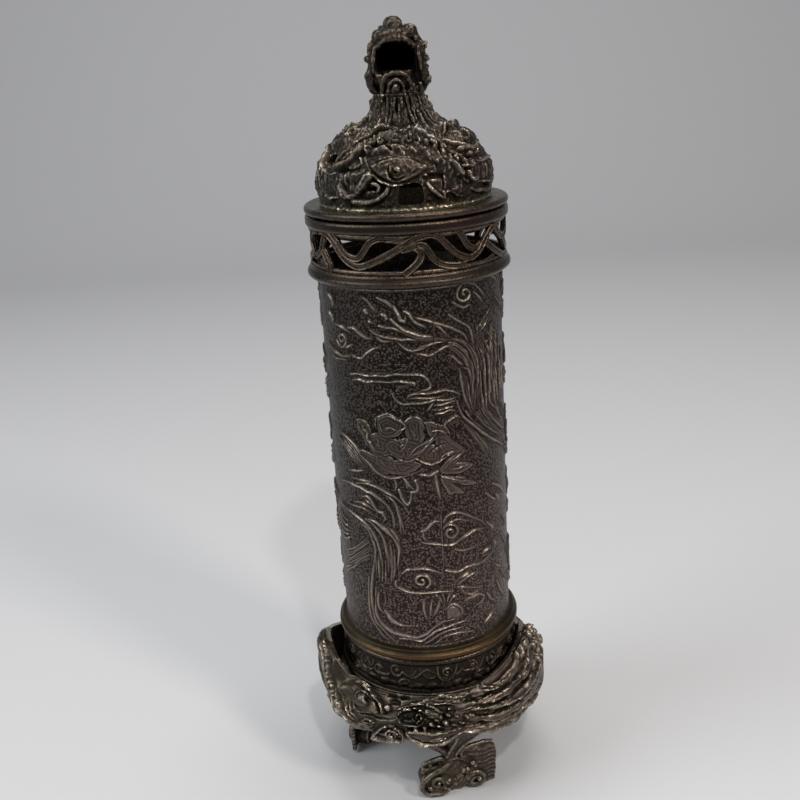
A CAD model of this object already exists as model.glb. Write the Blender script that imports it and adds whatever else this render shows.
# A bronze incense burner: a relief tube in a footed cup, with a pierced band and a dragon on its lid.
# Sizes in millimetres until a mesh is made; angles in degrees round the axis, 0 at the front,
# growing towards +X.
import math

import bpy
import numpy as np
from mathutils import Matrix


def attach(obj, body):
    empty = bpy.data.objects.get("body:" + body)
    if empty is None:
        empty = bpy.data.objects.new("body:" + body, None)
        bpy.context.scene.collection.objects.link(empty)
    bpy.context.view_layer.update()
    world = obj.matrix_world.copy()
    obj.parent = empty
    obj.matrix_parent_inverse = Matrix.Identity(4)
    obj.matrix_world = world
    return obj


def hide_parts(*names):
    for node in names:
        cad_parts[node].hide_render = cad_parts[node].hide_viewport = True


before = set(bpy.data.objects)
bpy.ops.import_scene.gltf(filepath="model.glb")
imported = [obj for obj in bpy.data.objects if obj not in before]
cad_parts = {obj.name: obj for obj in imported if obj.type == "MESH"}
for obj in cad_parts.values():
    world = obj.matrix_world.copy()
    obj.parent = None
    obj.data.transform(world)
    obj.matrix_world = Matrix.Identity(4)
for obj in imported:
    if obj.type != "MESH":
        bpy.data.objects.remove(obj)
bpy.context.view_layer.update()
rng = np.random.default_rng(7)

MM = 0.001
RAD = math.pi / 180

# Levels and radii of the parts, as in the solids
CUP_BOTTOM, LEDGE_MIDDLE, CUP_TOP = 22.5, 36.7, 47.4
RING_BOTTOM, TUBE_BOTTOM, TUBE_TOP = 47.7, 51.2, 155.4
BAND_BOTTOM, COLLAR_BOTTOM, COLLAR_TOP = 159.2, 169.2, 172.1
FLANGE_BOTTOM, DOME_BOTTOM, DOME_TOP, NECK_TOP, HEAD_TOP = 172.4, 174.6, 193.0, 201.3, 219.8
TUBE_RADIUS, TUBE_WALL = 24.8, 1.9
CUP_RADIUS, LEDGE_RADIUS, RING_RADIUS = 26.0, 27.3, 27.2
SPIGOT_RADIUS, SPIGOT_WALL, SPIGOT_BOTTOM = 23.5, 1.8, 41.0
BEAD_RADIUS, BAND_RADIUS, BAND_WALL = 27.6, 26.5, 1.6
COLLAR_RADIUS, COLLAR_BORE, FLANGE_RADIUS, FLANGE_HOLE = 27.15, 23.6, 27.25, 19.5
WREATH_RADIUS, WREATH_BOTTOM = 35.2, 22.8
FLOOR_BOTTOM, FLOOR_TOP = 27.0, 28.8
FOOT_TURN = 12.0
# Soot above 1 also hides the dust that lies in it
PURE_BLACK = 2.0


# Lines and carving
def smooth(points, spacing=0.6, scale=(1.0, 1.0)):
    """A smooth line through the points, sampled about every `spacing` once scaled to millimetres."""
    p = np.array(points, float)
    ends = np.vstack([2 * p[0] - p[1], p, 2 * p[-1] - p[-2]])
    scale = np.array(list(scale) + [1.0] * (p.shape[1] - len(scale)))
    out = []
    for a, b, c, d in zip(ends, ends[1:], ends[2:], ends[3:]):
        count = max(1, int(np.linalg.norm((c - b) * scale) / spacing))
        t = (np.arange(count) / count)[:, None]
        out.append(b + 0.5 * t * (c - a + t * (2 * a - 5 * b + 4 * c - d + t * (3 * (b - c) + d - a))))
    return np.vstack(out + [p[-1:]])


def swell(t, first, last):
    """A stroke's size along it: from `first` up to 1 and down to `last`."""
    return np.interp(t, [0, 0.25, 0.6, 1], [first, 1, 1, last])


FORMS = {
    "ridge": lambda x: np.sqrt(np.clip(1 - x * x, 0, 1)),
    "soft": lambda x: 0.5 + 0.5 * np.cos(np.pi * np.clip(x, 0, 1)),
    "sharp": lambda x: np.clip(1 - x, 0, 1) ** 0.8,
    "ripple": lambda x: (0.5 + 0.5 * np.cos(5 * np.pi * x)) * np.clip(1 - x, 0, 1),
    "band": lambda x: np.where(x < 1, 0.45 + 0.55 * np.exp(-((x - 0.72) / 0.2) ** 2), 0)
    * np.clip((1 - x) / 0.12, 0, 1),
}


def grit(shape, cell):
    """Soft random bumps for an array, one in every few cells; they run on from its end to its start."""
    counts = [max(4, round(n / cell)) for n in shape]
    field = rng.normal(size=counts)
    for axis, (n, count) in enumerate(zip(shape, counts)):
        at = np.arange(n) * count / n
        low = at.astype(int)
        share = at - low
        share = (share * share * (3 - 2 * share)).reshape([-1 if k == axis else 1 for k in range(len(shape))])
        field = field.take(low, axis) * (1 - share) + field.take((low + 1) % count, axis) * share
    return field


class Relief:
    """A carved height over a turned surface: rows climb its outline, columns go round it."""

    def __init__(self, span, reach, radius, step, unrest=0.2, fine=1.0, echo=0.0):
        self.radius, self.unrest, self.fine, self.echo = radius, unrest, fine, echo
        widest = max(radius(s) for s in np.linspace(*reach, 20))
        self.angles = np.linspace(*span, round((span[1] - span[0]) * RAD * widest / step) + 1)
        self.levels = np.linspace(*reach, round((reach[1] - reach[0]) / step) + 1)
        self.height = np.zeros((len(self.levels), len(self.angles)))

    def _layer(self, line, half, tall, form):
        """The raised form along one sampled line, with the window of the grid that it covers."""
        r = self.radius(line[:, 1].mean())
        most = half.max()
        low, high = line.min(0), line.max(0)
        rows = slice(*np.searchsorted(self.levels, [low[1] - most, high[1] + most]))
        cols = slice(*np.searchsorted(self.angles, [low[0] - most / (RAD * r), high[0] + most / (RAD * r)]))
        levels, angles = self.levels[rows], self.angles[cols]
        layer = np.zeros((len(levels), len(angles)))
        if not layer.size:
            return rows, cols, layer
        for a, b, h0, h1, t0, t1 in zip(line, line[1:], half, half[1:], tall, tall[1:]):
            r = self.radius((a[1] + b[1]) / 2)
            wide = max(h0, h1)
            i0, i1 = np.searchsorted(levels, [min(a[1], b[1]) - wide, max(a[1], b[1]) + wide])
            side = wide / (RAD * r)
            j0, j1 = np.searchsorted(angles, [min(a[0], b[0]) - side, max(a[0], b[0]) + side])
            if i1 <= i0 or j1 <= j0:
                continue
            u = (angles[j0:j1] - a[0])[None, :] * (RAD * r)
            v = (levels[i0:i1] - a[1])[:, None]
            du, dv = (b[0] - a[0]) * RAD * r, b[1] - a[1]
            t = np.clip((u * du + v * dv) / (du * du + dv * dv + 1e-9), 0, 1)
            x = np.hypot(u - t * du, v - t * dv) / (h0 + (h1 - h0) * t)
            value = np.where(x < 1, FORMS[form](x), 0) * (t0 + (t1 - t0) * t)
            part = layer[i0:i1, j0:j1]
            np.maximum(part, value, out=part)
        return rows, cols, layer

    def stroke(self, points, width, height, form="ridge", ends=(0.5, 0.2), mode="raise"):
        """One hand-made stroke: raised over what is there, added to it, or cut in with soft sides."""
        line = smooth(points, 0.5, (RAD * self.radius(np.mean([p[1] for p in points])), 1))
        steps = np.r_[0, np.cumsum(np.hypot(*(np.diff(line, axis=0) * [RAD * TUBE_RADIUS, 1]).T))]
        size = swell(steps / steps[-1], *ends) * np.clip(1 + self.unrest * grit(steps.shape, 5), 0.5, 1.4)
        line[:, 1] += 0.55 * self.unrest * grit(steps.shape, 4)
        for turn in (-360, 0, 360):
            moved = line + [turn, 0]
            if moved[:, 0].max() < self.angles[0] - 9 or moved[:, 0].min() > self.angles[-1] + 9:
                continue
            half = 0.5 * width * self.fine * (0.4 + 0.6 * size)
            if self.echo and mode == "raise":
                rows, cols, layer = self._layer(moved, 4 * half, self.echo * height * size, "ripple")
                np.maximum(self.height[rows, cols], layer, out=self.height[rows, cols])
            rows, cols, layer = self._layer(moved, half, height * size, "soft" if mode == "cut" else form)
            part = self.height[rows, cols]
            if mode == "raise":
                np.maximum(part, layer, out=part)
            elif mode == "add":
                part += layer
            elif mode == "cut":
                part -= layer

    def strokes(self, *rows, **options):
        """Strokes one after another, each given as its width, height and points."""
        for width, height, points in rows:
            self.stroke(points, width, height, **options)

    def bundle(self, first, last, count, width, height, **options):
        """Strokes side by side from one guiding line to another."""
        a, b = np.array(first, float), np.array(last, float)
        grid = np.linspace(0, 1, 12)
        a, b = (np.array([np.interp(grid, np.linspace(0, 1, len(p)), p[:, k]) for k in (0, 1)]).T
                for p in (a, b))
        for share in np.linspace(0, 1, count):
            line = a + (b - a) * share
            shift = rng.uniform(-0.12, 0.12, 2)
            start = rng.integers(0, 2)
            self.stroke(line[start:] + shift, width * rng.uniform(0.85, 1.15),
                        height * rng.uniform(0.8, 1.1), **options)

    def plate(self, outline, height, lip=0.25, dome=0.15, edge=0.6, frill=0.0):
        """A leaf or petal laid over what is there: a filled outline with a raised, frilled lip."""
        ring = smooth(list(outline) + [outline[0]], 0.5, (RAD * TUBE_RADIUS, 1))
        ring[1:-1] += frill * np.stack([2.2 * grit((len(ring) - 2,), 3), grit((len(ring) - 2,), 3)], 1)
        r = self.radius(ring[:, 1].mean())
        low, high = ring.min(0), ring.max(0)
        rows = slice(*np.searchsorted(self.levels, [low[1], high[1]]))
        cols = slice(*np.searchsorted(self.angles, [low[0], high[0]]))
        levels, angles = self.levels[rows][:, None], self.angles[cols][None, :]
        if not levels.size or not angles.size:
            return
        inside = np.zeros((levels.size, angles.size), bool)
        near = np.full(inside.shape, 99.0)
        for a, b in zip(ring, ring[1:]):
            crosses = (a[1] > levels) != (b[1] > levels)
            with np.errstate(divide="ignore", invalid="ignore"):
                at = a[0] + (levels - a[1]) * (b[0] - a[0]) / (b[1] - a[1])
            inside ^= crosses & (angles < at)
            u, v = (angles - a[0]) * RAD * r, levels - a[1]
            du, dv = (b[0] - a[0]) * RAD * r, b[1] - a[1]
            t = np.clip((u * du + v * dv) / (du * du + dv * dv + 1e-9), 0, 1)
            np.minimum(near, np.hypot(u - t * du, v - t * dv), out=near)
        body = height * (0.35 + 0.65 * np.clip(near / edge, 0, 1)) + dome * np.clip(near / 2.5, 0, 1)
        ruffle = 0.6 * frill * np.cos(7.4 * near) * np.exp(-near / 2.2)
        body += lip * np.exp(-((near - 0.3) / 0.28) ** 2) + ruffle
        part = self.height[rows, cols]
        part[inside] = np.maximum(body, 0.0)[inside]

    def spiral(self, centre, size, turns, width, height, start=0.0, hand=1, **options):
        """A stroke that winds inwards round a centre."""
        r = self.radius(centre[1])
        t = np.linspace(0, 1, int(10 * turns) + 4)
        angle = (start + hand * 360 * turns * t) * RAD
        reach = size * (1 - 0.82 * t)
        points = np.c_[centre[0] + reach * np.cos(angle) / (RAD * r), centre[1] + reach * np.sin(angle)]
        self.stroke(points, width, height, ends=(0.8, 0.9), **options)

    def read(self, levels, angles):
        """The carved height at these levels and angles, as rows and columns."""
        rows = np.searchsorted(self.levels, levels).clip(0, len(self.levels) - 1)
        cols = np.searchsorted(self.angles, angles).clip(0, len(self.angles) - 1)
        return self.height[np.ix_(rows, cols)]

    def turned_copy(self, turn):
        """What is carved, moved round the axis, for a relief that goes all the way round."""
        count = len(self.angles) - 1
        rolled = np.roll(self.height[:, :count], round(turn / 360 * count), axis=1)
        return np.concatenate([rolled, rolled[:, :1]], axis=1)


# Modelling in clay
class Clay:
    """Forms pressed together on a grid of distances: below zero is inside."""

    def __init__(self, low, high, step):
        self.low, self.step = np.array(low, float), step
        count = np.ceil((np.array(high) - self.low) / step).astype(int) + 1
        self.axes = [self.low[k] + step * np.arange(count[k]) for k in range(3)]
        self.field = np.full(count, 5.0)

    def _window(self, low, high, margin):
        cut = [slice(*np.searchsorted(self.axes[k], [low[k] - margin, high[k] + margin])) for k in range(3)]
        grid = np.meshgrid(*[self.axes[k][cut[k]] for k in range(3)], indexing="ij", sparse=True)
        return tuple(cut), grid

    def _press(self, cut, value, blend, hollow):
        part = self.field[cut]
        if hollow:
            share = np.clip(0.5 - 0.5 * (part + value) / blend, 0, 1)
            part[...] = part + (-value - part) * share + blend * share * (1 - share)
        else:
            share = np.clip(0.5 + 0.5 * (part - value) / blend, 0, 1)
            part[...] = part + (value - part) * share - blend * share * (1 - share)

    def ball(self, centre, radii, blend=0.5, hollow=False):
        centre, radii = np.array(centre, float), np.ones(3) * radii
        cut, grid = self._window(centre - radii, centre + radii, blend + 1)
        q = [(grid[k] - centre[k]) for k in range(3)]
        near = np.sqrt(sum((q[k] / radii[k]) ** 2 for k in range(3)))
        slope = np.sqrt(sum((q[k] / radii[k] ** 2) ** 2 for k in range(3))) + 1e-6
        self._press(cut, near * (near - 1) / slope, blend, hollow)

    def roll(self, points, radii, blend=0.4, hollow=False, spacing=0.8, flat=None):
        """A roll of clay along a smooth line; flat=(direction, share) presses it thinner that way."""
        line = smooth(points, spacing)
        sizes = np.interp(np.linspace(0, 1, len(line)), np.linspace(0, 1, len(np.atleast_1d(radii))),
                          np.atleast_1d(radii))
        most = sizes.max()
        cut, grid = self._window(line.min(0) - most, line.max(0) + most, blend + 1)
        shape = np.broadcast(*grid).shape
        if 0 in shape:
            return
        near = np.full(shape, 9.0)
        for a, b, r0, r1 in zip(line, line[1:], sizes, sizes[1:]):
            wide = max(r0, r1) + blend + 1
            sub = tuple(slice(*np.searchsorted(grid[k].ravel(),
                                               [min(a[k], b[k]) - wide, max(a[k], b[k]) + wide]))
                        for k in range(3))
            part = near[sub]
            if not part.size:
                continue
            q = [grid[k][tuple(sub[m] if m == k else slice(None) for m in range(3))] - a[k] for k in range(3)]
            d = b - a
            t = np.clip(sum(q[k] * d[k] for k in range(3)) / (d @ d + 1e-9), 0, 1)
            off = [q[k] - t * d[k] for k in range(3)]
            if flat is not None:
                way, share = np.array(flat[0], float), flat[1]
                along = sum(off[k] * way[k] for k in range(3)) * (1 / share - 1)
                off = [off[k] + along * way[k] for k in range(3)]
            value = np.sqrt(sum(o * o for o in off)) - (r0 + (r1 - r0) * t)
            np.minimum(part, value * (flat[1] if flat else 1), out=part)
        self._press(cut, near, blend, hollow)

    def drum(self, centre, size, back, front, blend=0.4, hollow=False):
        """A flat-ended drum whose axis runs outwards, along y."""
        low, high = (centre[0] - size, back, centre[1] - size), (centre[0] + size, front, centre[1] + size)
        cut, (x, y, z) = self._window(np.array(low), np.array(high), blend + 1)
        reach = np.hypot(x - centre[0], z - centre[1]) - size
        self._press(cut, np.maximum(reach, np.maximum(back - y, y - front)), blend, hollow)

    def taper(self, sections, blend=0.2, hollow=False):
        """A block through sections: y, middle in x and z, half width, half height and corner radius."""
        s = np.array(sections, float)
        most = s[:, 3:5].max(0)
        low = np.array((s[:, 1].min() - most[0], s[0, 0], s[:, 2].min() - most[1]))
        high = np.array((s[:, 1].max() + most[0], s[-1, 0], s[:, 2].max() + most[1]))
        cut, (x, y, z) = self._window(low, high, blend + 1)
        at = [np.interp(y, s[:, 0], s[:, k]) for k in range(1, 6)]
        qx, qz = np.abs(x - at[0]) - at[2] + at[4], np.abs(z - at[1]) - at[3] + at[4]
        round_off = np.hypot(np.maximum(qx, 0), np.maximum(qz, 0)) + np.minimum(np.maximum(qx, qz), 0) - at[4]
        self._press(cut, np.maximum(round_off, np.maximum(s[0, 0] - y, y - s[-1, 0])), blend, hollow)

    def cut_below(self, level):
        self.field = np.maximum(self.field, level - self.axes[2][None, None, :])

    def cut_above(self, level):
        self.field = np.maximum(self.field, self.axes[2][None, None, :] - level)

    def skin(self):
        """The surface of the clay as vertices and four-sided faces."""
        field = self.field.copy()
        for k in range(3):
            edge = [slice(None)] * 3
            for end in (0, -1):
                edge[k] = end
                field[tuple(edge)] = np.maximum(field[tuple(edge)], 0.05)
        cells = np.array(field.shape) - 1
        total = np.zeros((cells.prod(), 3))
        hits = np.zeros(cells.prod())
        edges = []
        for k in range(3):
            first = [slice(None)] * 3
            last = [slice(None)] * 3
            first[k], last[k] = slice(0, -1), slice(1, None)
            a, b = field[tuple(first)], field[tuple(last)]
            at = np.argwhere((a < 0) != (b < 0))
            va, vb = a[tuple(at.T)], b[tuple(at.T)]
            place = at.astype(float)
            place[:, k] += va / (va - vb)
            m, n = [j for j in range(3) if j != k]
            around = []
            for dm, dn in ((0, 0), (-1, 0), (-1, -1), (0, -1)):
                cell = at.copy()
                cell[:, m] += dm
                cell[:, n] += dn
                ok = ((cell >= 0) & (cell < cells)).all(1)
                key = np.where(ok, np.ravel_multi_index(np.clip(cell, 0, cells - 1).T, cells), -1)
                around.append(key)
                for j in range(3):
                    total[:, j] += np.bincount(key[ok], place[ok, j], len(total))
                hits += np.bincount(key[ok], minlength=len(hits))
            quad = np.stack(around, 1)
            turn = (va < 0) != (k == 1)
            quad[~turn] = quad[~turn][:, ::-1]
            edges.append(quad[(quad >= 0).all(1)])
        used = hits > 0
        number = np.cumsum(used) - 1
        points = total[used] / hits[used][:, None]
        return points * self.step + self.low, number[np.vstack(edges)]


# Meshes
def values_of(items, key, width=3, kind=np.float32):
    """A property of all a mesh's vertices or edges, one row each."""
    values = np.empty(len(items) * width, kind)
    items.foreach_get(key, values)
    return values.reshape(-1, width)


def placed(name, data):
    """A new object in the scene."""
    item = bpy.data.objects.new(name, data)
    bpy.context.scene.collection.objects.link(item)
    return item


def full_turn(columns):
    """Angles of the columns that go once round the axis."""
    return np.linspace(-180, 180, columns, endpoint=False)


def round_axis(radius, level, angles):
    """Points at these radii and levels: rows climb, columns go round."""
    radius, level, turn = np.broadcast_arrays(radius, level, angles * RAD)
    return np.stack([radius * np.sin(turn), -radius * np.cos(turn), level], -1)


def grid_faces(rows, columns, strip=False):
    """Faces of a grid whose last row meets its first, and its last column too unless it is a strip."""
    i, j = np.meshgrid(np.arange(rows), np.arange(columns - strip), indexing="ij")
    up, across = (i + 1) % rows * columns, (j + 1) % columns
    i = i * columns
    return np.stack([i + j, i + across, up + across, up + j], -1).reshape(-1, 4)


def wear_map(mesh, rounds, depth):
    """How far each point stands out from its smoothed surroundings, from -1 in a groove to 1 on a ridge."""
    count = len(mesh.vertices)
    co = values_of(mesh.vertices, "co").astype(float) / MM
    normal = values_of(mesh.vertices, "normal")
    pairs = values_of(mesh.edges, "vertices", 2, np.int32)
    near = np.bincount(pairs.ravel(), minlength=count)[:, None].clip(1)
    soft = co.copy()
    for _ in range(rounds):
        total = np.stack([np.bincount(pairs[:, 0], soft[pairs[:, 1], k], count)
                          + np.bincount(pairs[:, 1], soft[pairs[:, 0], k], count) for k in range(3)], 1)
        soft = 0.5 * soft + 0.5 * total / near
    return np.clip(((co - soft) * normal).sum(1) / depth, -1, 1)


def attribute(mesh, name, values):
    """Gives each point of a mesh a value that the finishes read."""
    layer = mesh.attributes.get(name) or mesh.attributes.new(name, "FLOAT", "POINT")
    layer.data.foreach_set("value", np.asarray(values, np.float32))


def mesh_from(name, points, faces, caps=()):
    """A mesh in metres from points in millimetres, four-sided faces and any many-sided ends."""
    mesh = bpy.data.meshes.new(name)
    faces = np.asarray(faces, np.int32)
    if caps:
        mesh.from_pydata((np.asarray(points) * MM).tolist(), [], faces.tolist() + [list(c) for c in caps])
    else:
        mesh.vertices.add(len(points))
        mesh.vertices.foreach_set("co", (np.asarray(points, float) * MM).astype(np.float32).ravel())
        mesh.loops.add(faces.size)
        mesh.loops.foreach_set("vertex_index", faces.ravel())
        mesh.polygons.add(len(faces))
        mesh.polygons.foreach_set("loop_start", np.arange(0, faces.size, faces.shape[1], dtype=np.int32))
        mesh.update(calc_edges=True)
    mesh.validate()
    return mesh


def corners_of(mesh):
    """Places of a mesh's corners in millimetres, as x, y and z rows."""
    return 1000 * values_of(mesh.vertices, "co").astype(float).T


def finish_piece(name, mesh, material, body, nodes=(), angle=50, rounds=(3, 14), depth=(0.1, 0.3),
                 ground=0.0, residue=0.0, soot=0.0):
    """Makes the piece's object: smooth shading, its wear and grime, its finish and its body."""
    mesh.name = name
    mesh.polygons.foreach_set("use_smooth", np.ones(len(mesh.polygons), bool))
    mesh.set_sharp_from_angle(angle=angle * RAD)
    fine = wear_map(mesh, rounds[0], depth[0])
    broad = wear_map(mesh, rounds[1], depth[1])
    attribute(mesh, "worn", np.clip(0.55 * fine + 0.6 * broad, 0, 1))
    attribute(mesh, "grime", np.maximum(np.clip(-0.35 * fine - 0.8 * broad, 0, 1), soot))
    for key, values in (("ground", ground), ("residue", residue)):
        attribute(mesh, key, np.zeros(len(mesh.vertices)) + values)
    mesh.materials.clear()
    mesh.materials.append(material)
    piece = placed(name, mesh)
    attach(piece, body)
    if nodes:
        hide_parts(*nodes)
    return piece


def outline_steps(outline, step):
    """An outline of [radius, level] corners as evenly spaced points with their outward normals."""
    p = np.array(outline, float)
    gone = np.r_[0, np.cumsum(np.hypot(*np.diff(p, axis=0).T))]
    count = max(2, round(gone[-1] / step) + 1)
    at = np.linspace(0, gone[-1], count)
    points = np.stack([np.interp(at, gone, p[:, k]) for k in (0, 1)], 1)
    along = np.gradient(points, at, axis=0)
    along /= np.linalg.norm(along, axis=1)[:, None]
    return at, points, np.stack([along[:, 1], -along[:, 0]], 1)


def ring_mesh(name, section, columns, carved=None):
    """A closed turned ring. `section` is a closed run of (radius, level) points with the outside
    climbing; `carved` moves the first rows outwards: (normals, heights)."""
    section = np.array(section, float)
    r = np.repeat(section[:, :1], columns, 1)
    z = np.repeat(section[:, 1:], columns, 1)
    if carved is not None:
        normals, heights = carved
        k = len(normals)
        r[:k] += normals[:, :1] * heights[:, :columns]
        z[:k] += normals[:, 1:] * heights[:, :columns]
    points = round_axis(r, z, full_turn(columns))
    return mesh_from(name, points.reshape(-1, 3), grid_faces(len(section), columns))


# Finishes
class Nodes:
    """Short hands for placing and linking nodes in one tree."""

    def __init__(self, tree):
        self.tree = tree

    def add(self, kind, inputs=None, **settings):
        node = self.tree.nodes.new(kind)
        for key, value in settings.items():
            setattr(node, key, value)
        for key, value in (inputs or {}).items():
            if isinstance(value, bpy.types.NodeSocket):
                self.tree.links.new(value, node.inputs[key])
            else:
                node.inputs[key].default_value = value
        return node

    def math(self, operation, a, b=0.0, c=0.0, clamp=False):
        return self.add("ShaderNodeMath", {0: a, 1: b, 2: c}, operation=operation, use_clamp=clamp).outputs[0]

    def mix(self, share, a, b, blend="MIX"):
        node = self.add("ShaderNodeMix", {0: share, 6: a, 7: b}, data_type="RGBA", blend_type=blend)
        return node.outputs[2]

    def vector(self, operation, a, b=None, scale=None):
        inputs = {0: a} | ({} if b is None else {1: b}) | ({} if scale is None else {"Scale": scale})
        return self.add("ShaderNodeVectorMath", inputs, operation=operation).outputs[0]

    def span(self, value, low, high, to_low=0.0, to_high=1.0):
        return self.add("ShaderNodeMapRange", {0: value, 1: low, 2: high, 3: to_low, 4: to_high}).outputs[0]

    def noise(self, place, scale, detail=3.0, rough=0.55):
        return self.add("ShaderNodeTexNoise", {"Vector": place, "Scale": scale, "Detail": detail,
                                               "Roughness": rough}).outputs[0]


# Colours of the skin itself: the lower tube's warm cast, specks, the ground's rings, the deepest hollows
REDDISH, TARNISH = (0.25, 0.175, 0.155, 1), (0.006, 0.005, 0.0045, 1)
RING_SHADE, GRIME_BLACK = (0.007, 0.0055, 0.005, 1), (0.004, 0.0035, 0.003, 1)


def patina_group():
    """Aged cast bronze: a mottled dark skin, rubbed ridges, dust in the hollows and a punched ground."""
    tree = bpy.data.node_groups.new("aged bronze", "ShaderNodeTree")
    for name, kind, value in (
        ("Skin", "NodeSocketColor", (0.07, 0.05, 0.04, 1)),
        ("Mottle", "NodeSocketColor", (0.1, 0.06, 0.05, 1)),
        ("Rubbed", "NodeSocketColor", (0.4, 0.33, 0.26, 1)), ("Dust", "NodeSocketColor", (0.1, 0.1, 0.06, 1)),
        ("Rub Amount", "NodeSocketFloat", 1.0), ("Dust Amount", "NodeSocketFloat", 0.5),
        ("Gloss", "NodeSocketFloat", 0.4), ("Punch", "NodeSocketFloat", 0.0),
        ("Pits", "NodeSocketFloat", 0.3),
    ):
        socket = tree.interface.new_socket(name, in_out="INPUT", socket_type=kind)
        socket.default_value = value
    for name, kind in (("Color", "NodeSocketColor"), ("Roughness", "NodeSocketFloat"),
                       ("Metallic", "NodeSocketFloat"), ("Height", "NodeSocketFloat")):
        tree.interface.new_socket(name, in_out="OUTPUT", socket_type=kind)
    n = Nodes(tree)
    given = n.add("NodeGroupInput").outputs
    place = n.vector("MULTIPLY", n.add("ShaderNodeTexCoord").outputs["Object"], (1000, 1000, 1000))
    parts = n.add("ShaderNodeSeparateXYZ", {0: place}).outputs
    side, height_up = parts[0], parts[2]
    worn, grime, ground, residue = (n.add("ShaderNodeAttribute", attribute_name=name).outputs["Fac"]
                                    for name in ("worn", "grime", "ground", "residue"))
    blotch = n.noise(place, 0.07, 4.0)
    speck = n.noise(place, 0.9, 5.0, 0.65)
    grain = n.noise(place, 4.5, 3.0)
    warm = n.math("ADD", n.span(blotch, 0.38, 0.62), n.span(side, -26, 26, -0.6, 0.6), clamp=True)
    skin = n.mix(warm, given["Skin"], given["Mottle"])
    low = n.math("MULTIPLY", n.span(height_up, 125, 60, 0.0, 0.9), n.span(side, -20, 20, 0.45, 1.0))
    skin = n.mix(n.math("MULTIPLY", low, given["Punch"]), skin, REDDISH)
    skin = n.mix(n.span(speck, 0.35, 0.7, 0.0, 0.6), skin, TARNISH)
    cells = n.add("ShaderNodeTexVoronoi", {"Vector": place, "Scale": 1.5, "Randomness": 0.9})
    ramp = n.add("ShaderNodeValToRGB", {0: cells.outputs["Distance"]})
    stops = ramp.color_ramp.elements
    stops[0].position, stops[0].color = 0.0, (1.0, 1.0, 1.0, 1)
    stops[1].position, stops[1].color = 0.62, (0.0, 0.0, 0.0, 1)
    for at, level in ((0.16, 0.85), (0.30, 0.95), (0.42, 0.4), (0.52, 0.06)):
        stop = stops.new(at)
        stop.color = (level, level, level, 1)
    ringed = n.math("MULTIPLY", ground, given["Punch"])
    punch = n.math("MULTIPLY", ramp.outputs[0], ringed)
    shade = n.math("MULTIPLY", n.span(ramp.outputs[0], 0.0, 0.7, 0.8, 0.0), ringed)
    skin = n.mix(shade, skin, RING_SHADE)
    patchy = n.math("MULTIPLY", n.math("POWER", worn, 1.5), n.span(speck, 0.3, 0.65, 0.25, 1.5))
    rub = n.math("MULTIPLY", n.math("ADD", patchy, n.math("MULTIPLY", punch, 0.15)), given["Rub Amount"])
    rub = n.math("MINIMUM", rub, 0.95)
    colour = n.mix(rub, skin, given["Rubbed"])
    dust = n.math("MULTIPLY", n.math("MULTIPLY", grime, n.span(blotch, 0.4, 0.6, 0.2, 1.0)),
                  given["Dust Amount"], clamp=True)
    dust = n.math("MULTIPLY", dust, n.span(grime, 1.05, 1.5, 1.0, 0.0))
    colour = n.mix(n.math("MULTIPLY", grime, 0.85), colour, GRIME_BLACK)
    colour = n.mix(n.math("MULTIPLY", dust, n.span(speck, 0.4, 0.7, 0.1, 0.9)), colour, given["Dust"])
    stain = n.math("MULTIPLY", residue, n.span(n.noise(place, 0.45, 4.0, 0.6), 0.38, 0.6), clamp=True)
    colour = n.mix(n.math("MULTIPLY", stain, 0.85), colour, given["Dust"])
    dust = n.math("ADD", dust, n.math("MULTIPLY", stain, 0.6), clamp=True)
    rough = n.math("ADD", given["Gloss"], n.span(speck, 0.3, 0.7, -0.08, 0.14))
    rough = n.math("ADD", rough, n.math("MULTIPLY", grime, 0.25))
    rough = n.math("SUBTRACT", rough, n.math("MULTIPLY", rub, 0.12))
    metal = n.math("SUBTRACT", 0.96, n.math("MULTIPLY", dust, 0.7))
    height = n.math("MULTIPLY", n.math("SUBTRACT", grain, 0.5), given["Pits"])
    height = n.math("ADD", height, n.math("MULTIPLY", n.math("SUBTRACT", speck, 0.5), 0.8))
    height = n.math("ADD", height, n.math("MULTIPLY", punch, 1.3))
    n.add("NodeGroupOutput", {"Color": colour, "Roughness": rough, "Metallic": metal, "Height": height})
    return tree


AGED = patina_group()


def bronze(name, skin, mottle, rubbed, dust, rub=1.0, dusty=0.5, gloss=0.4, punch=0.0, pits=0.3,
           bump=0.00012):
    """A finish of aged bronze from four colours and how rubbed, dusty, glossy, punched and pitted it is."""
    material = bpy.data.materials.new(name)
    material.use_nodes = True
    material.node_tree.nodes.clear()
    n = Nodes(material.node_tree)
    aged = n.add("ShaderNodeGroup", node_tree=AGED)
    for key, value in (("Skin", skin), ("Mottle", mottle), ("Rubbed", rubbed), ("Dust", dust)):
        aged.inputs[key].default_value = (*value, 1)
    for key, value in (("Rub Amount", rub), ("Dust Amount", dusty), ("Gloss", gloss), ("Punch", punch),
                       ("Pits", pits)):
        aged.inputs[key].default_value = value
    relief = n.add("ShaderNodeBump", {"Height": aged.outputs["Height"], "Distance": bump, "Strength": 1.0})
    shader = n.add("ShaderNodeBsdfPrincipled", {"Base Color": aged.outputs["Color"],
                                                "Roughness": aged.outputs["Roughness"],
                                                "Metallic": aged.outputs["Metallic"],
                                                "Normal": relief.outputs[0]})
    n.add("ShaderNodeOutputMaterial", {0: shader.outputs[0]})
    return material


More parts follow.
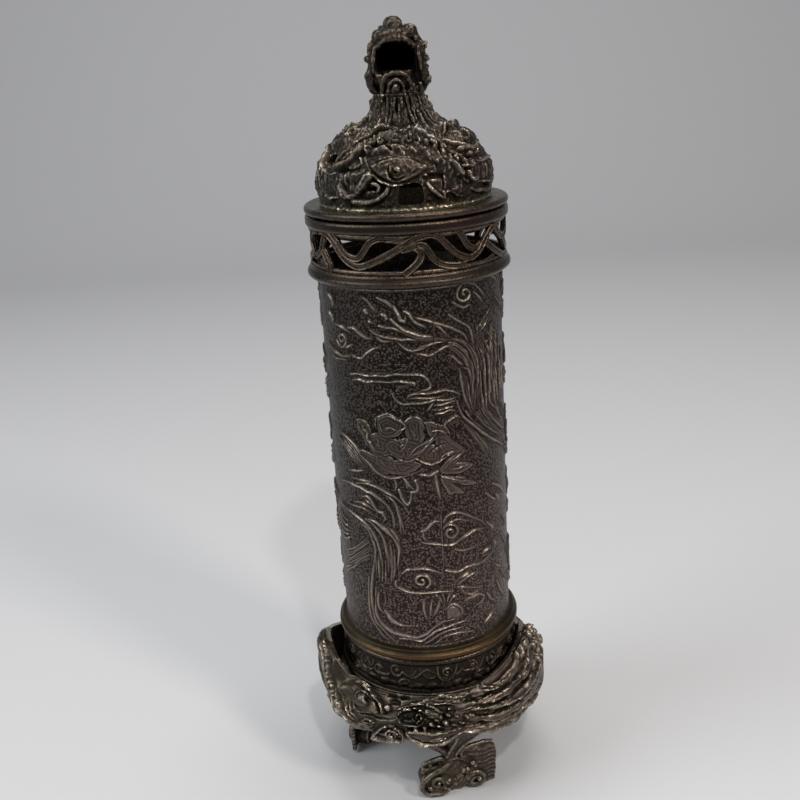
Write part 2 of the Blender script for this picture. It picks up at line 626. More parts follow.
# Each finish: skin, mottle, rubbed ridges and dust
OLIVE = (0.085, 0.078, 0.03)
CAST = bronze("dark cast bronze", (0.034, 0.030, 0.024), (0.052, 0.034, 0.027), (0.34, 0.28, 0.22), OLIVE,
              gloss=0.34)
WORN = bronze("worn cast bronze", (0.062, 0.054, 0.042), (0.084, 0.057, 0.046), (0.37, 0.31, 0.245), OLIVE,
              gloss=0.34)
PUNCHED = bronze("punched relief bronze", (0.046, 0.040, 0.033), (0.072, 0.046, 0.041), (0.30, 0.25, 0.205),
                 OLIVE, punch=1.0, gloss=0.36, dusty=0.35)
RINGS = bronze("ring bronze", (0.024, 0.020, 0.016), (0.042, 0.027, 0.021), (0.24, 0.18, 0.13), OLIVE,
               gloss=0.28, rub=0.42, pits=0.5)
BRASS = bronze("rubbed brass", (0.046, 0.033, 0.018), (0.082, 0.046, 0.019), (0.25, 0.15, 0.062), OLIVE,
               gloss=0.34, rub=0.6)
HOLDER = bronze("holder brass", (0.30, 0.2, 0.09), (0.26, 0.17, 0.08), (0.62, 0.46, 0.22), (0.2, 0.19, 0.17),
                gloss=0.38, dusty=1.0)


# Relief of the tube
def carve_tube(relief):
    """The phoenix tails, clouds, peony and leaves as the front shows them."""
    stroke, strokes, plate = relief.stroke, relief.strokes, relief.plate
    bundle, spiral = relief.bundle, relief.spiral
    # upper left: hooks, a streaked cloud with its spiral, feather tips
    strokes(
        (1.6, 0.8, [(-60, 152.5), (-57, 152.2), (-54.5, 150.8), (-56, 149.4)]),
        (1.6, 0.8, [(-61, 148.2), (-58, 147.4), (-55.4, 146.2), (-57, 144.8)]),
        (1.2, 0.75, [(-55, 144.9), (-48, 144.9), (-44, 144.2), (-40, 143.2)]),
        (1.3, 0.8, [(-42, 144.6), (-37, 144.7), (-33, 143.6), (-28, 142.6), (-25, 142.4)]),
        (1.5, 0.7, [(-29, 150.4), (-28, 149.8), (-26.5, 148.8)]),
        (1.0, 0.5, [(-27, 147.2), (-24.5, 146.6), (-22.5, 146.4)]),
        (1.1, 0.5, [(-30, 153.2), (-26, 152.2), (-22, 150.4), (-19, 149.6)]),
        (1.1, 0.6, [(-20, 153.4), (-16, 152.8), (-12, 151.4), (-9.6, 150.0)]),
        (1.2, 0.7, [(-18.5, 149.2), (-16, 148.9), (-14.8, 148.2), (-16.4, 147.5)]),
        (1.2, 0.9, [(-12.5, 148), (-9, 146.2), (-5, 144.9), (0, 144), (6, 143.1), (12, 142.6)]),
        (1.0, 0.6, [(-20, 146.2), (-12, 145.6), (-6, 144.3), (0, 143.2), (8, 142.4), (16, 141.7),
                    (24, 140.9)]),
        (0.9, 0.55, [(-26, 144.6), (-18, 143.2), (-10, 142.7), (0, 142.1), (10, 141.8), (20, 141)]),
        (0.9, 0.5, [(-23, 143.4), (-18, 142), (-11, 142)]),
        (1.2, 0.85, [(-10.5, 151.2), (-8, 149.2), (-6.6, 147.4), (-4.6, 147), (-3.6, 148.4), (-5.2, 149.4)]),
        (1.1, 0.8, [(-4.4, 149.8), (-2, 149.2), (0.6, 147.4), (3.4, 146.1), (7.4, 145.3)]),
        (1.0, 0.7, [(2, 147.9), (7, 147.3), (12, 146.5), (18, 145.3), (25, 143.8), (31, 142.2), (35, 139.6)]),
        (0.9, 0.6, [(10.5, 146.2), (15.5, 145), (19, 143.2), (21.6, 141.9)]),
        (1.0, 0.75, [(22, 147.7), (26, 146.2), (32, 144.7), (35.4, 143.4), (37.2, 141.2), (39, 137)]),
        (1.2, 0.5, [(-66, 138.8), (-58, 137.4), (-51, 136.4), (-45, 136.8), (-40, 137.3)]),
        (1.0, 0.45, [(-50, 139.2), (-44, 139.4), (-38.5, 140.4)]),
        (1.0, 0.7, [(-40, 137.2), (-33, 137.0), (-30, 138.2), (-25, 139.5), (-20, 140.3)]),
        (0.9, 0.45, [(-60, 135.8), (-52, 135.4), (-45, 135.8)]),
        (0.9, 0.6, [(-9, 141.4), (-6, 140.3), (-2, 139.4), (4, 139.8), (11, 140.8), (20, 141)]),
        (0.9, 0.55, [(0, 138.6), (4, 138.1), (9, 137.8), (15, 138.8), (20, 139.6), (25, 139)]),
        (0.8, 0.5, [(0, 138.8), (4, 140.1), (8, 140.5), (13, 140.4)]),
        (1.0, 0.7, [(21, 137.2), (24, 136.3), (27, 134.9), (30.5, 133.6), (33.5, 132)]),
    )
    spiral((-48, 141.2), 2.4, 1.4, 0.9, 0.7, start=200)
    # the bundle of tail feathers that bends down at the right and sweeps away
    bundle([(16, 141.2), (27, 139.9), (34, 136.6), (37.6, 131.5), (38.6, 126), (38, 120.5)],
           [(20, 138.9), (26, 137.8), (31, 135.2), (34.6, 131.4), (35.6, 126), (35.4, 121)], 4, 0.95, 0.75)
    bundle([(24, 141), (31, 139.6), (36.5, 136.4), (40, 131), (41.4, 125), (42, 119)],
           [(28, 140.8), (34, 139.2), (39.4, 135.2), (42.4, 130), (44, 124), (45, 118.5)], 3, 0.9, 0.6)
    bundle([(27.4, 133), (28, 129.8), (29.4, 126), (31.6, 123), (34.4, 120.4)],
           [(32, 131.4), (32.8, 128), (33.6, 125), (34.8, 122.4), (37, 120)], 4, 0.9, 0.6)
    strokes(
        (1.3, 0.9, [(56, 142.4), (54, 139.5), (52.8, 136), (53, 131), (54.4, 126), (56.4, 121.6),
                    (60.5, 117.4), (66, 114.6), (72, 113.6)]),
        (1.2, 0.8, [(49.6, 138.4), (50.4, 134), (50.6, 128), (50.4, 123.4), (53, 120.4), (58.4, 118.4),
                    (64, 115.2)]),
        (1.1, 0.8, [(44.6, 136.6), (46, 132.4), (46.4, 128), (46.8, 124), (48, 120), (50.4, 117)]),
        (1.0, 0.7, [(42, 130), (43.2, 125), (44.2, 121), (46, 117.6)]),
        (1.0, 0.65, [(60.6, 140.4), (59.2, 134), (58.6, 129), (59.6, 124.6), (62.6, 120)]),
        (0.9, 0.6, [(57, 131), (56.4, 126), (58, 121.4)]),
        (1.1, 0.6, [(66, 138), (64, 132), (63.4, 127), (65, 122), (69, 118)]),
        (0.9, 0.6, [(71, 134), (69, 129), (69, 124), (72, 119.6)]),
        (1.4, 0.85, [(25, 124.4), (27.6, 120.6), (32, 118.4), (38, 115.6), (43, 113.4), (49, 111.4),
                     (56, 109.4), (64, 107.2), (74, 104.6)]),
        (1.0, 0.7, [(31, 120.8), (34.4, 118.4), (38.6, 116.4), (43, 114.6), (49, 113)]),
    )
    bundle([(36, 121), (41, 117.8), (47, 114.8), (54, 112.4), (62, 110), (72, 107.4)],
           [(44, 122.6), (49, 118.6), (55, 116), (61, 113.4), (67, 111.6), (75, 110)], 6, 0.95, 0.7)
    bundle([(30, 117), (36, 113.4), (41, 110), (45, 107)], [(36, 115.6), (42, 112.2), (47, 109), (52, 106)],
           4, 0.85, 0.55)
    bundle([(28.4, 140.7), (35.1, 138.7), (39.6, 135.3), (40.8, 130.7), (39.7, 125.6), (41.1, 121.7),
            (46.9, 117.5)],
           [(50, 144), (58, 141), (62.6, 135.6), (63.9, 130.2), (66, 123.8), (72, 117.5), (80, 112)], 13, 0.6,
           0.3, mode="add")
    bundle([(37.5, 141.3), (50, 145), (62, 149)], [(46, 141.3), (58, 144.4), (70.9, 148)], 4, 0.6, 0.3,
           mode="add")
    for points in ([(40.6, 143.9), (41.4, 140.9)], [(58, 141.3), (55.5, 139.1)], [(52, 137.6), (52.4, 134.6)],
                   [(44.5, 130.9), (44.8, 127.4)], [(28.6, 134.2), (34.4, 132.3)],
                   [(37.2, 133), (38, 128.6), (37.4, 122)], [(24.6, 123.4), (28, 119.2), (31, 117.6)],
                   [(31, 113), (36, 109.6)], [(41, 109), (44.6, 106.8)], [(51, 141), (51.6, 136.6)],
                   [(45.4, 137), (45.8, 134)]):
        stroke(points, 1.1, 0.5, mode="cut")
    # ribbon cloud
    strokes(
        (1.0, 0.75, [(-43, 131.8), (-36, 132.3), (-28, 132.4), (-19, 132.8), (-11, 133.2), (-3, 133.2),
                     (3, 132.8), (6.4, 131.8), (8.4, 130.4), (8.6, 129.2), (6, 128.5), (1, 128.2),
                     (-3.4, 127.6), (-5.8, 127)]),
        (0.9, 0.65, [(-41, 130.5), (-31, 130.8), (-20, 131), (-10, 131.1), (-2.6, 130.9), (-0.6, 130.3),
                     (-5, 130), (-10.6, 129.4), (-11.6, 128.6)]),
        (0.9, 0.6, [(-14.4, 127.8), (-12.8, 126.3), (-9.4, 125.3), (0, 125.1), (10, 125.4), (20, 125.2),
                    (29, 125.2)]),
        (0.9, 0.7, [(-5, 127), (0, 127.8), (7, 127.6), (14, 127.8), (20, 127.5), (25, 126.7), (29, 125.4)]),
        (0.7, 0.4, [(-6, 126.6), (2, 126.5), (10, 126.3), (20, 126.1)]),
        (0.8, 0.5, [(10, 125), (8.4, 123.9), (5.8, 122.8)]),
        (0.8, 0.5, [(11, 124.2), (16, 124.2), (20, 124.3), (24, 124.6)]),
        (0.8, 0.5, [(10, 122.9), (15, 122.8), (20, 123), (23.6, 123.2)]),
        (0.8, 0.55, [(11, 121.6), (16, 121.8), (20, 122.2), (24.4, 121.4)]),
    )
    # peony: outer petals first, the heart last
    for outline, height in (
        ([(-42, 110), (-36, 111), (-29, 110), (-22, 108.6), (-19, 105.6), (-24, 104.3), (-30, 105.2),
          (-35, 107.4)],
         0.4),
        ([(-29, 110.6), (-22, 110.8), (-16, 109), (-13.4, 105.8), (-18, 105), (-24, 106.2), (-28, 108)], 0.5),
        ([(-18, 109.6), (-11, 109.4), (-4, 109), (0.5, 108), (-4, 106.2), (-10, 105.2), (-15.4, 105.6)], 0.5),
        ([(-40, 119.6), (-35, 120), (-31, 118), (-30.4, 114), (-33, 112.4), (-36.6, 115), (-40, 117.6)],
         0.45),
        ([(-34, 116.6), (-27, 116.6), (-20, 115.6), (-17.6, 112.4), (-21, 110.4), (-28, 110.8), (-33, 113)],
         0.5),
        ([(3, 120), (9, 119.8), (15, 118.4), (17.6, 115.6), (12, 115), (6, 116)], 0.45),
        ([(8, 116.6), (14, 116.2), (20, 113.8), (26.4, 111.4), (25, 109.8), (18, 109.8), (11, 112)], 0.5),
        ([(0, 112), (7, 113.4), (13, 112), (14, 109), (8, 107.4), (1.4, 108.4)], 0.5),
        ([(-27, 120.4), (-22.6, 122.3), (-16.6, 122.4), (-11, 121), (-8, 119), (-12, 116.4), (-19, 115.4),
          (-25, 116.4)], 0.55),
        ([(-9, 119.8), (-4.6, 121.4), (0, 121.2), (3, 119.4), (3.6, 116), (1, 113.6), (-4, 113.4), (-8, 116)],
         0.6),
        ([(-12, 115.6), (-5, 115.4), (2, 114.4), (3.6, 111.6), (-2, 109.6), (-8.6, 109), (-12.6, 111.4)],
         0.65),
        ([(-21.6, 114.6), (-15, 115.4), (-9.6, 113.6), (-8, 110.4), (-11.6, 109.2), (-15, 110.6),
          (-20, 111.4)],
         0.6),
    ):
        plate(outline, height, lip=0.26, frill=0.24)
    strokes(
        (0.7, 0.95, [(-22, 118.8), (-19, 118), (-16.4, 118.6), (-13, 117.8), (-10, 118.8)]),
        (0.7, 0.9, [(-24, 119.6), (-22.4, 117.8), (-20.6, 116)]),
        (0.7, 0.95, [(-6.4, 118.8), (-3.4, 117.6), (-1.6, 115.8), (-1.4, 114.2)]),
        (0.7, 0.95, [(-5, 116), (-1.4, 118.2), (0, 119.6)]),
        (0.8, 1.0, [(-9, 109.4), (-5.6, 111), (-2.4, 112.7), (2, 113.7), (7, 114.9), (11, 115.8)]),
        (0.7, 0.9, [(2, 113), (7, 114.6), (12, 117.4), (16, 118.4)]),
        (0.7, 0.85, [(17.4, 119.6), (16, 118.2), (18, 116.8), (19.4, 114.6)]),
        (0.7, 0.85, [(-36.4, 119), (-34.8, 117.8), (-35.6, 116.4)]),
        (0.7, 0.85, [(11, 108), (14.6, 109.8), (19, 110.4), (25.6, 110.4)]),
    )
    bundle([(-29, 115.6), (-28.4, 113.4), (-27, 111.8)], [(-19.4, 114.8), (-19.6, 113), (-20, 111.6)], 6, 0.5,
           0.85)
    bundle([(-25, 109.6), (-22, 107.4), (-20, 105.8)], [(-16.4, 109), (-15.4, 107.4), (-14, 106)], 5, 0.5,
           0.8)
    bundle([(-12, 112.6), (-9, 113.8), (-6.4, 114.8)], [(-4, 110.8), (-1, 112), (2, 113)], 5, 0.45, 0.95)
    # frilled edges of the bloom and the leaf that sweeps under it from the left
    strokes(
        (0.8, 1.1, [(-22.1, 121), (-18.9, 121.6), (-16.3, 121.8), (-13.4, 121), (-10.2, 120.5), (-7.5, 119),
                    (-9.7, 118), (-12.2, 117.6), (-14.1, 116.5), (-17.7, 115.4), (-20.9, 114.2)]),
        (0.8, 1.1, [(-7.1, 118.2), (-5.3, 119.7), (-2.3, 120.4), (0.9, 120.1), (3.2, 118.8), (3.8, 117.2)]),
        (0.7, 1.0, [(-14, 110.9), (-10.4, 112.5), (-7.7, 114), (-5.8, 115.9), (-0.6, 117.7)]),
        (0.8, 1.15, [(-7.5, 109), (-4, 110.7), (0.3, 111.8), (3.7, 112.7), (6.3, 113.7), (10.2, 114.7),
                     (15.8, 115.1)]),
        (0.8, 1.1, [(-22, 110.3), (-17.5, 110.8), (-14.1, 110.1), (-10.9, 109.2), (-7.1, 108.8),
                    (-2.4, 109.8), (1.6, 108.7), (6.5, 107.9), (10.8, 108.1), (15.2, 109), (19.7, 109.8),
                    (27.1, 109.7), (26.3, 111.1), (20.7, 111.2)]),
        (0.7, 1.0, [(7.5, 117.1), (12.6, 117), (16.7, 115.8), (15.8, 115.1)]),
        (0.8, 0.9, [(17, 118.4), (19.8, 119.7), (24.4, 120.4), (27.2, 119.4)]),
        (1.0, 1.0, [(-39.2, 118.8), (-36.2, 117.5), (-32.3, 116.6), (-32.7, 114.7), (-30, 113.3),
                    (-27.3, 111.6), (-22, 110.3)]),
        (1.1, 0.9, [(-56.5, 113.9), (-49.3, 112.8), (-44.4, 111.7), (-40, 110.2), (-36, 108.6), (-31.1, 107),
                    (-26.6, 105), (-19.4, 103.9), (-10.7, 104.4), (-3.8, 105.5), (2.2, 106.6)]),
    )
    bundle([(-62, 112), (-54, 110.2), (-46, 107.6), (-40, 105)],
           [(-52, 113.4), (-45, 111.4), (-39, 109), (-33, 106.4)], 5, 0.7, 0.5)
    for points in ([(-38.2, 118.1), (-33.6, 115.4), (-33, 113.1)],
                   [(26.6, 123.2), (30.1, 119.9), (35, 117.5)], [(-25, 121), (-25.6, 118.4), (-24.6, 116)],
                   [(5, 111.2), (11, 112.8), (17, 113.6)]):
        stroke(points, 1.2, 0.5, mode="cut")
    # leaf node with its leaves, the calyx and the stem
    for outline in (
        [(11, 105.2), (15, 107.6), (21, 109.4), (29, 110.2), (24, 107.8), (17, 105.8)],
        [(12, 105), (19, 106.4), (26, 106.8), (34.6, 105.2), (27, 104), (18, 104.2)],
        [(11.6, 104.4), (17, 103.8), (25, 102.8), (34, 100.4), (38.6, 99.4), (30, 99.6), (20, 101.4),
         (14, 103)],
        [(11.4, 103.6), (13.6, 100.8), (17, 98.4), (22, 98), (27.4, 97.6), (22, 100.2), (16, 102.4)],
    ):
        plate(outline, 0.4, lip=0.3, frill=0.14)
    strokes(
        (0.6, 0.85, [(12, 105.2), (17, 107.3), (23, 108.8), (28, 109.8)]),
        (0.6, 0.8, [(13, 105), (20, 105.4), (28, 105.5), (33.4, 105.2)]),
        (0.6, 0.85, [(12.4, 104), (19, 102.7), (27, 101.3), (36, 99.7)]),
        (0.6, 0.8, [(12.4, 103), (15.4, 100.4), (19, 99), (24.4, 98.6)]),
        (1.2, 0.7, [(9, 104.6), (9.6, 101.6), (10.6, 98.8), (11.6, 97.2)]),
        (1.1, 0.8, [(0.4, 104.8), (5, 104.6), (11, 105.4)]),
        (1.2, 0.85, [(-3.4, 103.2), (-2.2, 101.6), (-3.2, 100.2), (-6.2, 99.9)]),
        (0.9, 0.6, [(-11, 104.2), (-7.6, 102), (-4.4, 100.4)]),
        (1.0, 0.85, [(-14, 100.4), (-11.6, 97.8), (-9.2, 96.3), (-7.4, 97.6), (-6.4, 99.8)]),
        (0.8, 0.6, [(-16.4, 103.8), (-15.4, 101.8), (-16.6, 100.2)]),
        (0.8, 0.5, [(-9.4, 103.4), (-8.6, 101.4), (-6.6, 100.8)]),
        (0.35, 0.28, [(11.6, 98), (11.4, 85), (11.6, 70), (11.4, 51.4)]),
        ends=(0.8, 0.5))
    # lower left: the second tail, its eyed feather and the loop
    strokes(
        (1.0, 0.5, [(-52, 103.2), (-44, 104), (-37, 104.6)]),
        (1.0, 0.55, [(-50, 101.2), (-40, 101.7), (-30, 101.8)]),
        (1.0, 0.7, [(-46, 100.2), (-36, 100.9), (-28, 100.6), (-22, 99.3), (-16, 97.8), (-11.6, 95.9),
                    (-9.6, 94)]),
        (0.9, 0.65, [(-24, 98.6), (-19, 97.3), (-15.2, 94.2), (-13.6, 91), (-12.8, 87.6)]),
        (1.3, 0.9, [(-62, 98.8), (-52, 99.5), (-42, 99.3), (-35, 98.6), (-29, 97.5), (-24, 96.2),
                    (-20.6, 94.4), (-18.8, 91.6), (-19, 88.2)]),
        (1.0, 0.7, [(-16.6, 95.2), (-14.6, 92), (-14.8, 88)]),
        (1.1, 0.85, [(-41, 96.6), (-37, 97.1), (-33.4, 96.1), (-31.2, 94.5), (-29, 93.3), (-26.2, 93.1),
                     (-24.4, 91.6), (-26.2, 90.3)]),
        (0.8, 0.6, [(-38.4, 95.8), (-35, 95.3), (-32.8, 94)]),
        (1.0, 0.55, [(-48, 94.2), (-42, 94.8), (-36, 94.3), (-31.6, 93.2)]),
        (0.9, 0.45, [(-56, 92.4), (-46, 93), (-38, 92.6), (-31, 91.4)]),
        (1.2, 0.85, [(-66, 91.2), (-54, 90.5), (-46, 89.8), (-40, 88.8), (-35.6, 87.4), (-32.4, 85.4),
                     (-30.4, 82.6), (-29.6, 79), (-30.6, 74.6)]),
        (1.2, 0.85, [(-37, 90.2), (-30, 89.4), (-24.6, 88.1), (-20.2, 86.3), (-17.2, 84.4), (-16.3, 82.4),
                     (-17.2, 79.6), (-18.6, 76)]),
        (1.0, 0.7, [(-40, 89.9), (-33.6, 88.7), (-29, 87.2), (-26.2, 84.8), (-24.8, 81.6), (-24.4, 78),
                    (-25, 73.6)]),
        (1.0, 0.6, [(-23.4, 89), (-19.6, 87.6), (-16.6, 85.4), (-15.6, 83)]),
        (1.2, 0.7, [(-43, 87.8), (-37, 86.6), (-34, 83.8), (-33.4, 80.4), (-35.4, 76.4), (-37, 72)]),
    )
    bundle([(-27, 85), (-23.4, 80.6), (-22.2, 76), (-23.6, 71.4)], [(-20.4, 83.4), (-19.6, 79.6), (-20, 76),
                                                                    (-21.6, 72.6)], 4, 0.8, 0.6)
    bundle([(-34, 80), (-33.4, 76), (-34.4, 71.6)], [(-26.4, 79), (-26.4, 75), (-27.6, 71)], 4, 0.8, 0.55)
    bundle([(-64, 76.2), (-54, 78.6), (-46, 81.2), (-38.4, 84.6)],
           [(-68, 69), (-56, 72.4), (-46, 76), (-37, 78.4)], 8, 0.9, 0.55)
    bundle([(-70, 88), (-62, 86.4), (-54, 85.6)], [(-70, 80), (-62, 80.6), (-54, 82)], 5, 1.0, 0.5)
    strokes(
        (1.3, 0.85, [(-35.4, 76), (-37.2, 72), (-38.4, 68), (-38.8, 64), (-38, 60.4), (-35.6, 57.6),
                     (-32, 55.8), (-27, 53.8), (-22, 52)]),
        (1.1, 0.7, [(-40.4, 71.4), (-41.4, 67), (-41.8, 62.6), (-40.6, 59), (-37.4, 56.2), (-33, 54),
                    (-28, 52)]),
        (1.2, 0.8, [(-35.4, 69), (-35.6, 65), (-36, 61.6), (-33.8, 58.8), (-29.6, 56.8), (-23, 55.5),
                    (-15, 54.9), (-8, 54.6), (-2, 55.8), (3, 57.6), (8, 59), (14, 59.3), (20.4, 59.6)]),
        (1.0, 0.7, [(-33.4, 67.4), (-33.8, 64.4), (-32.8, 62.3), (-30, 61.3), (-27.6, 61.6)]),
        (1.2, 0.85, [(-29.4, 62.2), (-27, 61.2), (-24.6, 59.8), (-21, 58.6), (-17, 58.2), (-11, 58.2)]),
        (1.0, 0.7, [(-20, 53.7), (-12, 54), (-5, 53.6), (0, 55), (5, 56.6), (11, 57.2), (17, 57.6),
                    (26, 58)]),
        (0.9, 0.6, [(-3, 52.6), (3, 54.4), (9, 55.7), (16, 56.2), (23, 56.2)]),
        (0.9, 0.6, [(4, 52.4), (10, 54.2), (17, 54.8), (24, 54.4), (30, 53.8)]),
        (1.1, 0.85, [(11.6, 63.3), (15, 64.2), (18.6, 64), (21.4, 62.8), (22.4, 61.2), (21, 59.7)]),
        (1.2, 0.8, [(25, 64.4), (30, 65.2), (35, 65.2), (39.4, 63.8), (38, 62.4), (33.6, 61.6)]),
        (1.4, 0.9, [(40, 55), (44.4, 56), (49.6, 57.4)]),
        (1.0, 0.6, [(43, 64), (46.6, 61.6), (51, 60)]),
        (1.0, 0.55, [(54, 66), (58, 62), (64, 59), (72, 57)]),
        (0.9, 0.5, [(58, 70), (64, 66), (72, 62.6)]),
    )
    plate([(11.4, 59.8), (12, 63.2), (16, 63.8), (20.4, 62.8), (21.6, 61), (19.4, 59.8)], 0.55, lip=0.1,
          dome=0.35)
    bundle([(-2.6, 67.0), (-2.8, 64), (-1.2, 60)], [(8, 66.4), (6, 63.4), (2.4, 60.4)], 3, 0.9, 0.5)
    stroke([(0, 66), (-1, 63), (1, 60)], 2.4, 0.4, mode="cut")
    bundle([(4, 68.6), (8.4, 66.6), (9.6, 64.8)], [(20, 67.4), (15.4, 66.4), (13, 64)], 4, 0.7, 0.6)
    for points in ([(-58, 71.4), (-56, 70.2)], [(-49, 71.4), (-46.4, 70)],
                   [(-39.8, 66), (-40, 62), (-38.6, 59)], [(-28.4, 69.4), (-27.6, 66), (-28, 63.4)],
                   [(-59, 88), (-58.4, 84)], [(-58.6, 82.6), (-56, 80.4)], [(-34.4, 85.2), (-33.8, 84)],
                   [(52.6, 70), (49, 66.6), (45, 63.6)], [(56, 84.4), (53, 80.6)],
                   [(50.6, 90.4), (50, 86.6)]):
        stroke(points, 1.4, 0.5, mode="cut")
    # clouds of the lower right
    strokes(
        (1.1, 0.85, [(-1.6, 88.2), (1, 88.6), (4, 89.8), (7, 90.7), (11, 90.5)]),
        (1.0, 0.7, [(12.6, 90.2), (15, 91.9), (19, 92.5), (24, 92), (29, 90.8), (34, 89.2), (39, 87.6),
                    (43, 86)]),
        (0.8, 0.6, [(13.6, 89.4), (18, 90.2), (24, 90), (30, 88.7)]),
        (0.9, 0.6, [(-2, 84.5), (4, 84.1), (10, 83.5), (15, 83.1), (20, 83.3), (26, 84.8), (32, 86)]),
        (0.8, 0.55, [(20, 83.2), (26, 84.5), (32, 85.4), (38, 85.2), (44, 84.6)]),
        (0.8, 0.5, [(0.4, 89), (-0.6, 86.8), (1.4, 84.6)]),
        (0.9, 0.55, [(19, 81.4), (24, 80.5), (30, 80.3), (36, 80.6)]),
        (1.1, 0.8, [(-15.4, 75), (-12, 76.2), (-8, 76.6), (-3, 76.8), (1, 76.5), (5, 75.6), (11, 74.3)]),
        (1.0, 0.75, [(-20.4, 70.8), (-14, 69.5), (-8, 69), (-1, 68.9), (6, 68.9), (12, 68.7), (17, 68.3)]),
        (0.9, 0.7, [(-19.6, 72.6), (-20.4, 71.4), (-18.8, 70.6)]),
        (1.0, 0.7, [(12.4, 75.3), (18, 74.5), (24, 74.3), (30, 75), (36, 74.8), (43, 75), (49, 75.8)]),
        (1.0, 0.75, [(22, 72.1), (26, 72.8), (30.6, 73.4)]),
        (0.8, 0.55, [(20, 70.2), (25, 71.4), (28, 72), (33, 72.4), (39, 71.5)]),
        (0.8, 0.55, [(20, 69.7), (26, 68.7), (32, 67.7), (39, 66.8)]),
        (0.8, 0.55, [(22, 69), (25.4, 67), (31, 66), (38, 66.4)]),
        (1.1, 0.8, [(40, 77.2), (44, 78), (48.6, 77.5)]),
        (1.5, 0.85, [(45.4, 86), (48, 84.9), (50.6, 83.2)]),
        (1.5, 0.9, [(51.4, 79.6), (52.4, 78.4), (54, 78)]),
        (1.5, 0.9, [(53, 71.3), (55.4, 70.6), (58, 70)]),
        (1.2, 0.7, [(45, 95), (50, 93.2), (55, 91.6), (58, 91)]),
        (1.2, 0.7, [(52, 97), (58, 95.4), (64, 93), (70, 91)]),
        (1.6, 0.85, [(55, 93.2), (57, 92), (58, 90.6)]),
        (0.9, 0.5, [(60, 87), (66, 84), (72, 80)]),
        (0.9, 0.5, [(62, 79.6), (68, 76), (76, 73.4)]),
    )
    spiral((17, 86.9), 2.5, 1.5, 0.9, 0.75, start=150, hand=-1)
    spiral((-3.2, 72.8), 2.6, 1.35, 1.0, 0.8, start=-60)
    spiral((33, 152.6), 2.6, 1.3, 1.2, 0.85, start=110, hand=1)
    strokes(
        (0.9, 0.5, [(37, 155), (42, 154), (47, 152), (51, 150)]),
        (0.9, 0.5, [(40, 152.4), (45, 150.6), (49, 149)]), (0.9, 0.5,
                                                            [(25, 150.8), (31, 149.4), (38, 149.2)]),
        (1.0, 0.5, [(52, 155), (60, 154.4), (68, 152.4)]), (1.0, 0.6, [(62, 149), (68, 147), (73, 144)]),
    )
    # the sides, which the photograph doesn't show: loose scroll clouds between the two faces
    for a, z in ((84, 149), (90, 129), (86, 108), (92, 88), (84, 67)):
        spiral((a, z), 2.7, 1.5, 1.0, 0.75, start=40)
        bundle([(a - 14, z - 1.5), (a - 4, z - 4), (a + 8, z - 3.4), (a + 17, z + 0.6)],
               [(a - 10, z - 5.4), (a, z - 8), (a + 10, z - 7.6), (a + 20, z - 4)], 5, 0.9, 0.6)
        bundle([(a - 9, z + 2.6), (a + 1, z + 4), (a + 12, z + 2.4)],
               [(a - 13, z + 5.4), (a + 2, z + 6.8), (a + 18, z + 4)], 3, 0.9, 0.6)


def make_tube():
    relief = Relief((-180, 180), (TUBE_BOTTOM, TUBE_TOP), lambda s: TUBE_RADIUS, 0.25, fine=0.78, echo=0.34)
    carve_tube(relief)
    height = np.maximum(relief.height, relief.turned_copy(180))
    low = np.minimum(relief.height, relief.turned_copy(180))
    height = np.where(low < 0, low, height)
    ripple = sum(np.sin(relief.angles * k * RAD + p)[None, :] * np.cos(relief.levels * q + p)[:, None]
                 for k, q, p in ((3, 0.07, 0.4), (5, 0.11, 2.0), (8, 0.05, 4.1)))
    height = np.clip(height, -0.5, 1.0) + 0.03 * ripple
    bore = np.full((2, len(relief.angles)), TUBE_RADIUS - TUBE_WALL)
    radius = np.vstack([TUBE_RADIUS + height, bore])
    level = np.r_[relief.levels, TUBE_TOP, TUBE_BOTTOM][:, None]
    count = len(relief.angles) - 1
    # four quarters, whose seams lie 12 degrees off the axes
    bounds = [round((12 + 90 * k + 180) / 360 * count) for k in range(5)]
    for number, (first, last) in enumerate(zip(bounds, bounds[1:])):
        cols = np.arange(first, last + 1)
        grid = round_axis(radius[:, cols % count], level, -180 + cols * 360 / count)
        rows, width = grid.shape[:2]
        caps = [np.arange(rows)[::-1] * width, np.arange(rows) * width + width - 1]
        mesh = mesh_from("tube", grid.reshape(-1, 3), grid_faces(rows, width, strip=True),
                         [c.tolist() for c in caps])
        raised = np.zeros((rows, width))
        raised[:-2] = 1 - np.clip((np.abs(height[:, cols % count]) - 0.08) / 0.15, 0, 1)
        finish_piece(f"relief_quarter_{number + 1}", mesh, PUNCHED, "tube",
                     ["relief_tube"] if number == 0 else (), ground=raised.ravel())


# Turned rings
def wavy(columns, rows, size, waves):
    """Small unevenness of a hand-finished ring."""
    a = np.linspace(-np.pi, np.pi, columns, endpoint=False)[None, :]
    b = np.linspace(0, 1, rows)[:, None]
    return size * sum(np.sin(k * a + p + 3 * b) for k, p in waves) / len(waves)


def turned_ring(name, outer, closing, material, body, nodes, columns=360, step=0.3, unevenness=0.05,
                sooty_above=math.inf, dusty_above=math.inf):
    """A ring from its outside outline, climbing, and the corners that close it on the inside."""
    _, points, normals = outline_steps(outer, step)
    heights = wavy(columns, len(points), unevenness, ((3, 0.3), (7, 1.1), (12, 2.2), (23, 0.7)))
    section = np.vstack([points, np.array(closing, float).reshape(-1, 2)])
    mesh = ring_mesh(name, section, columns, (normals, heights))
    level = corners_of(mesh)[2]
    return finish_piece(name, mesh, material, body, nodes, rounds=(2, 8), depth=(0.05, 0.2),
                        soot=np.clip((level - sooty_above) / 0.5, 0, 0.85),
                        residue=np.clip((level - dusty_above) / 0.2, 0, 0.8))


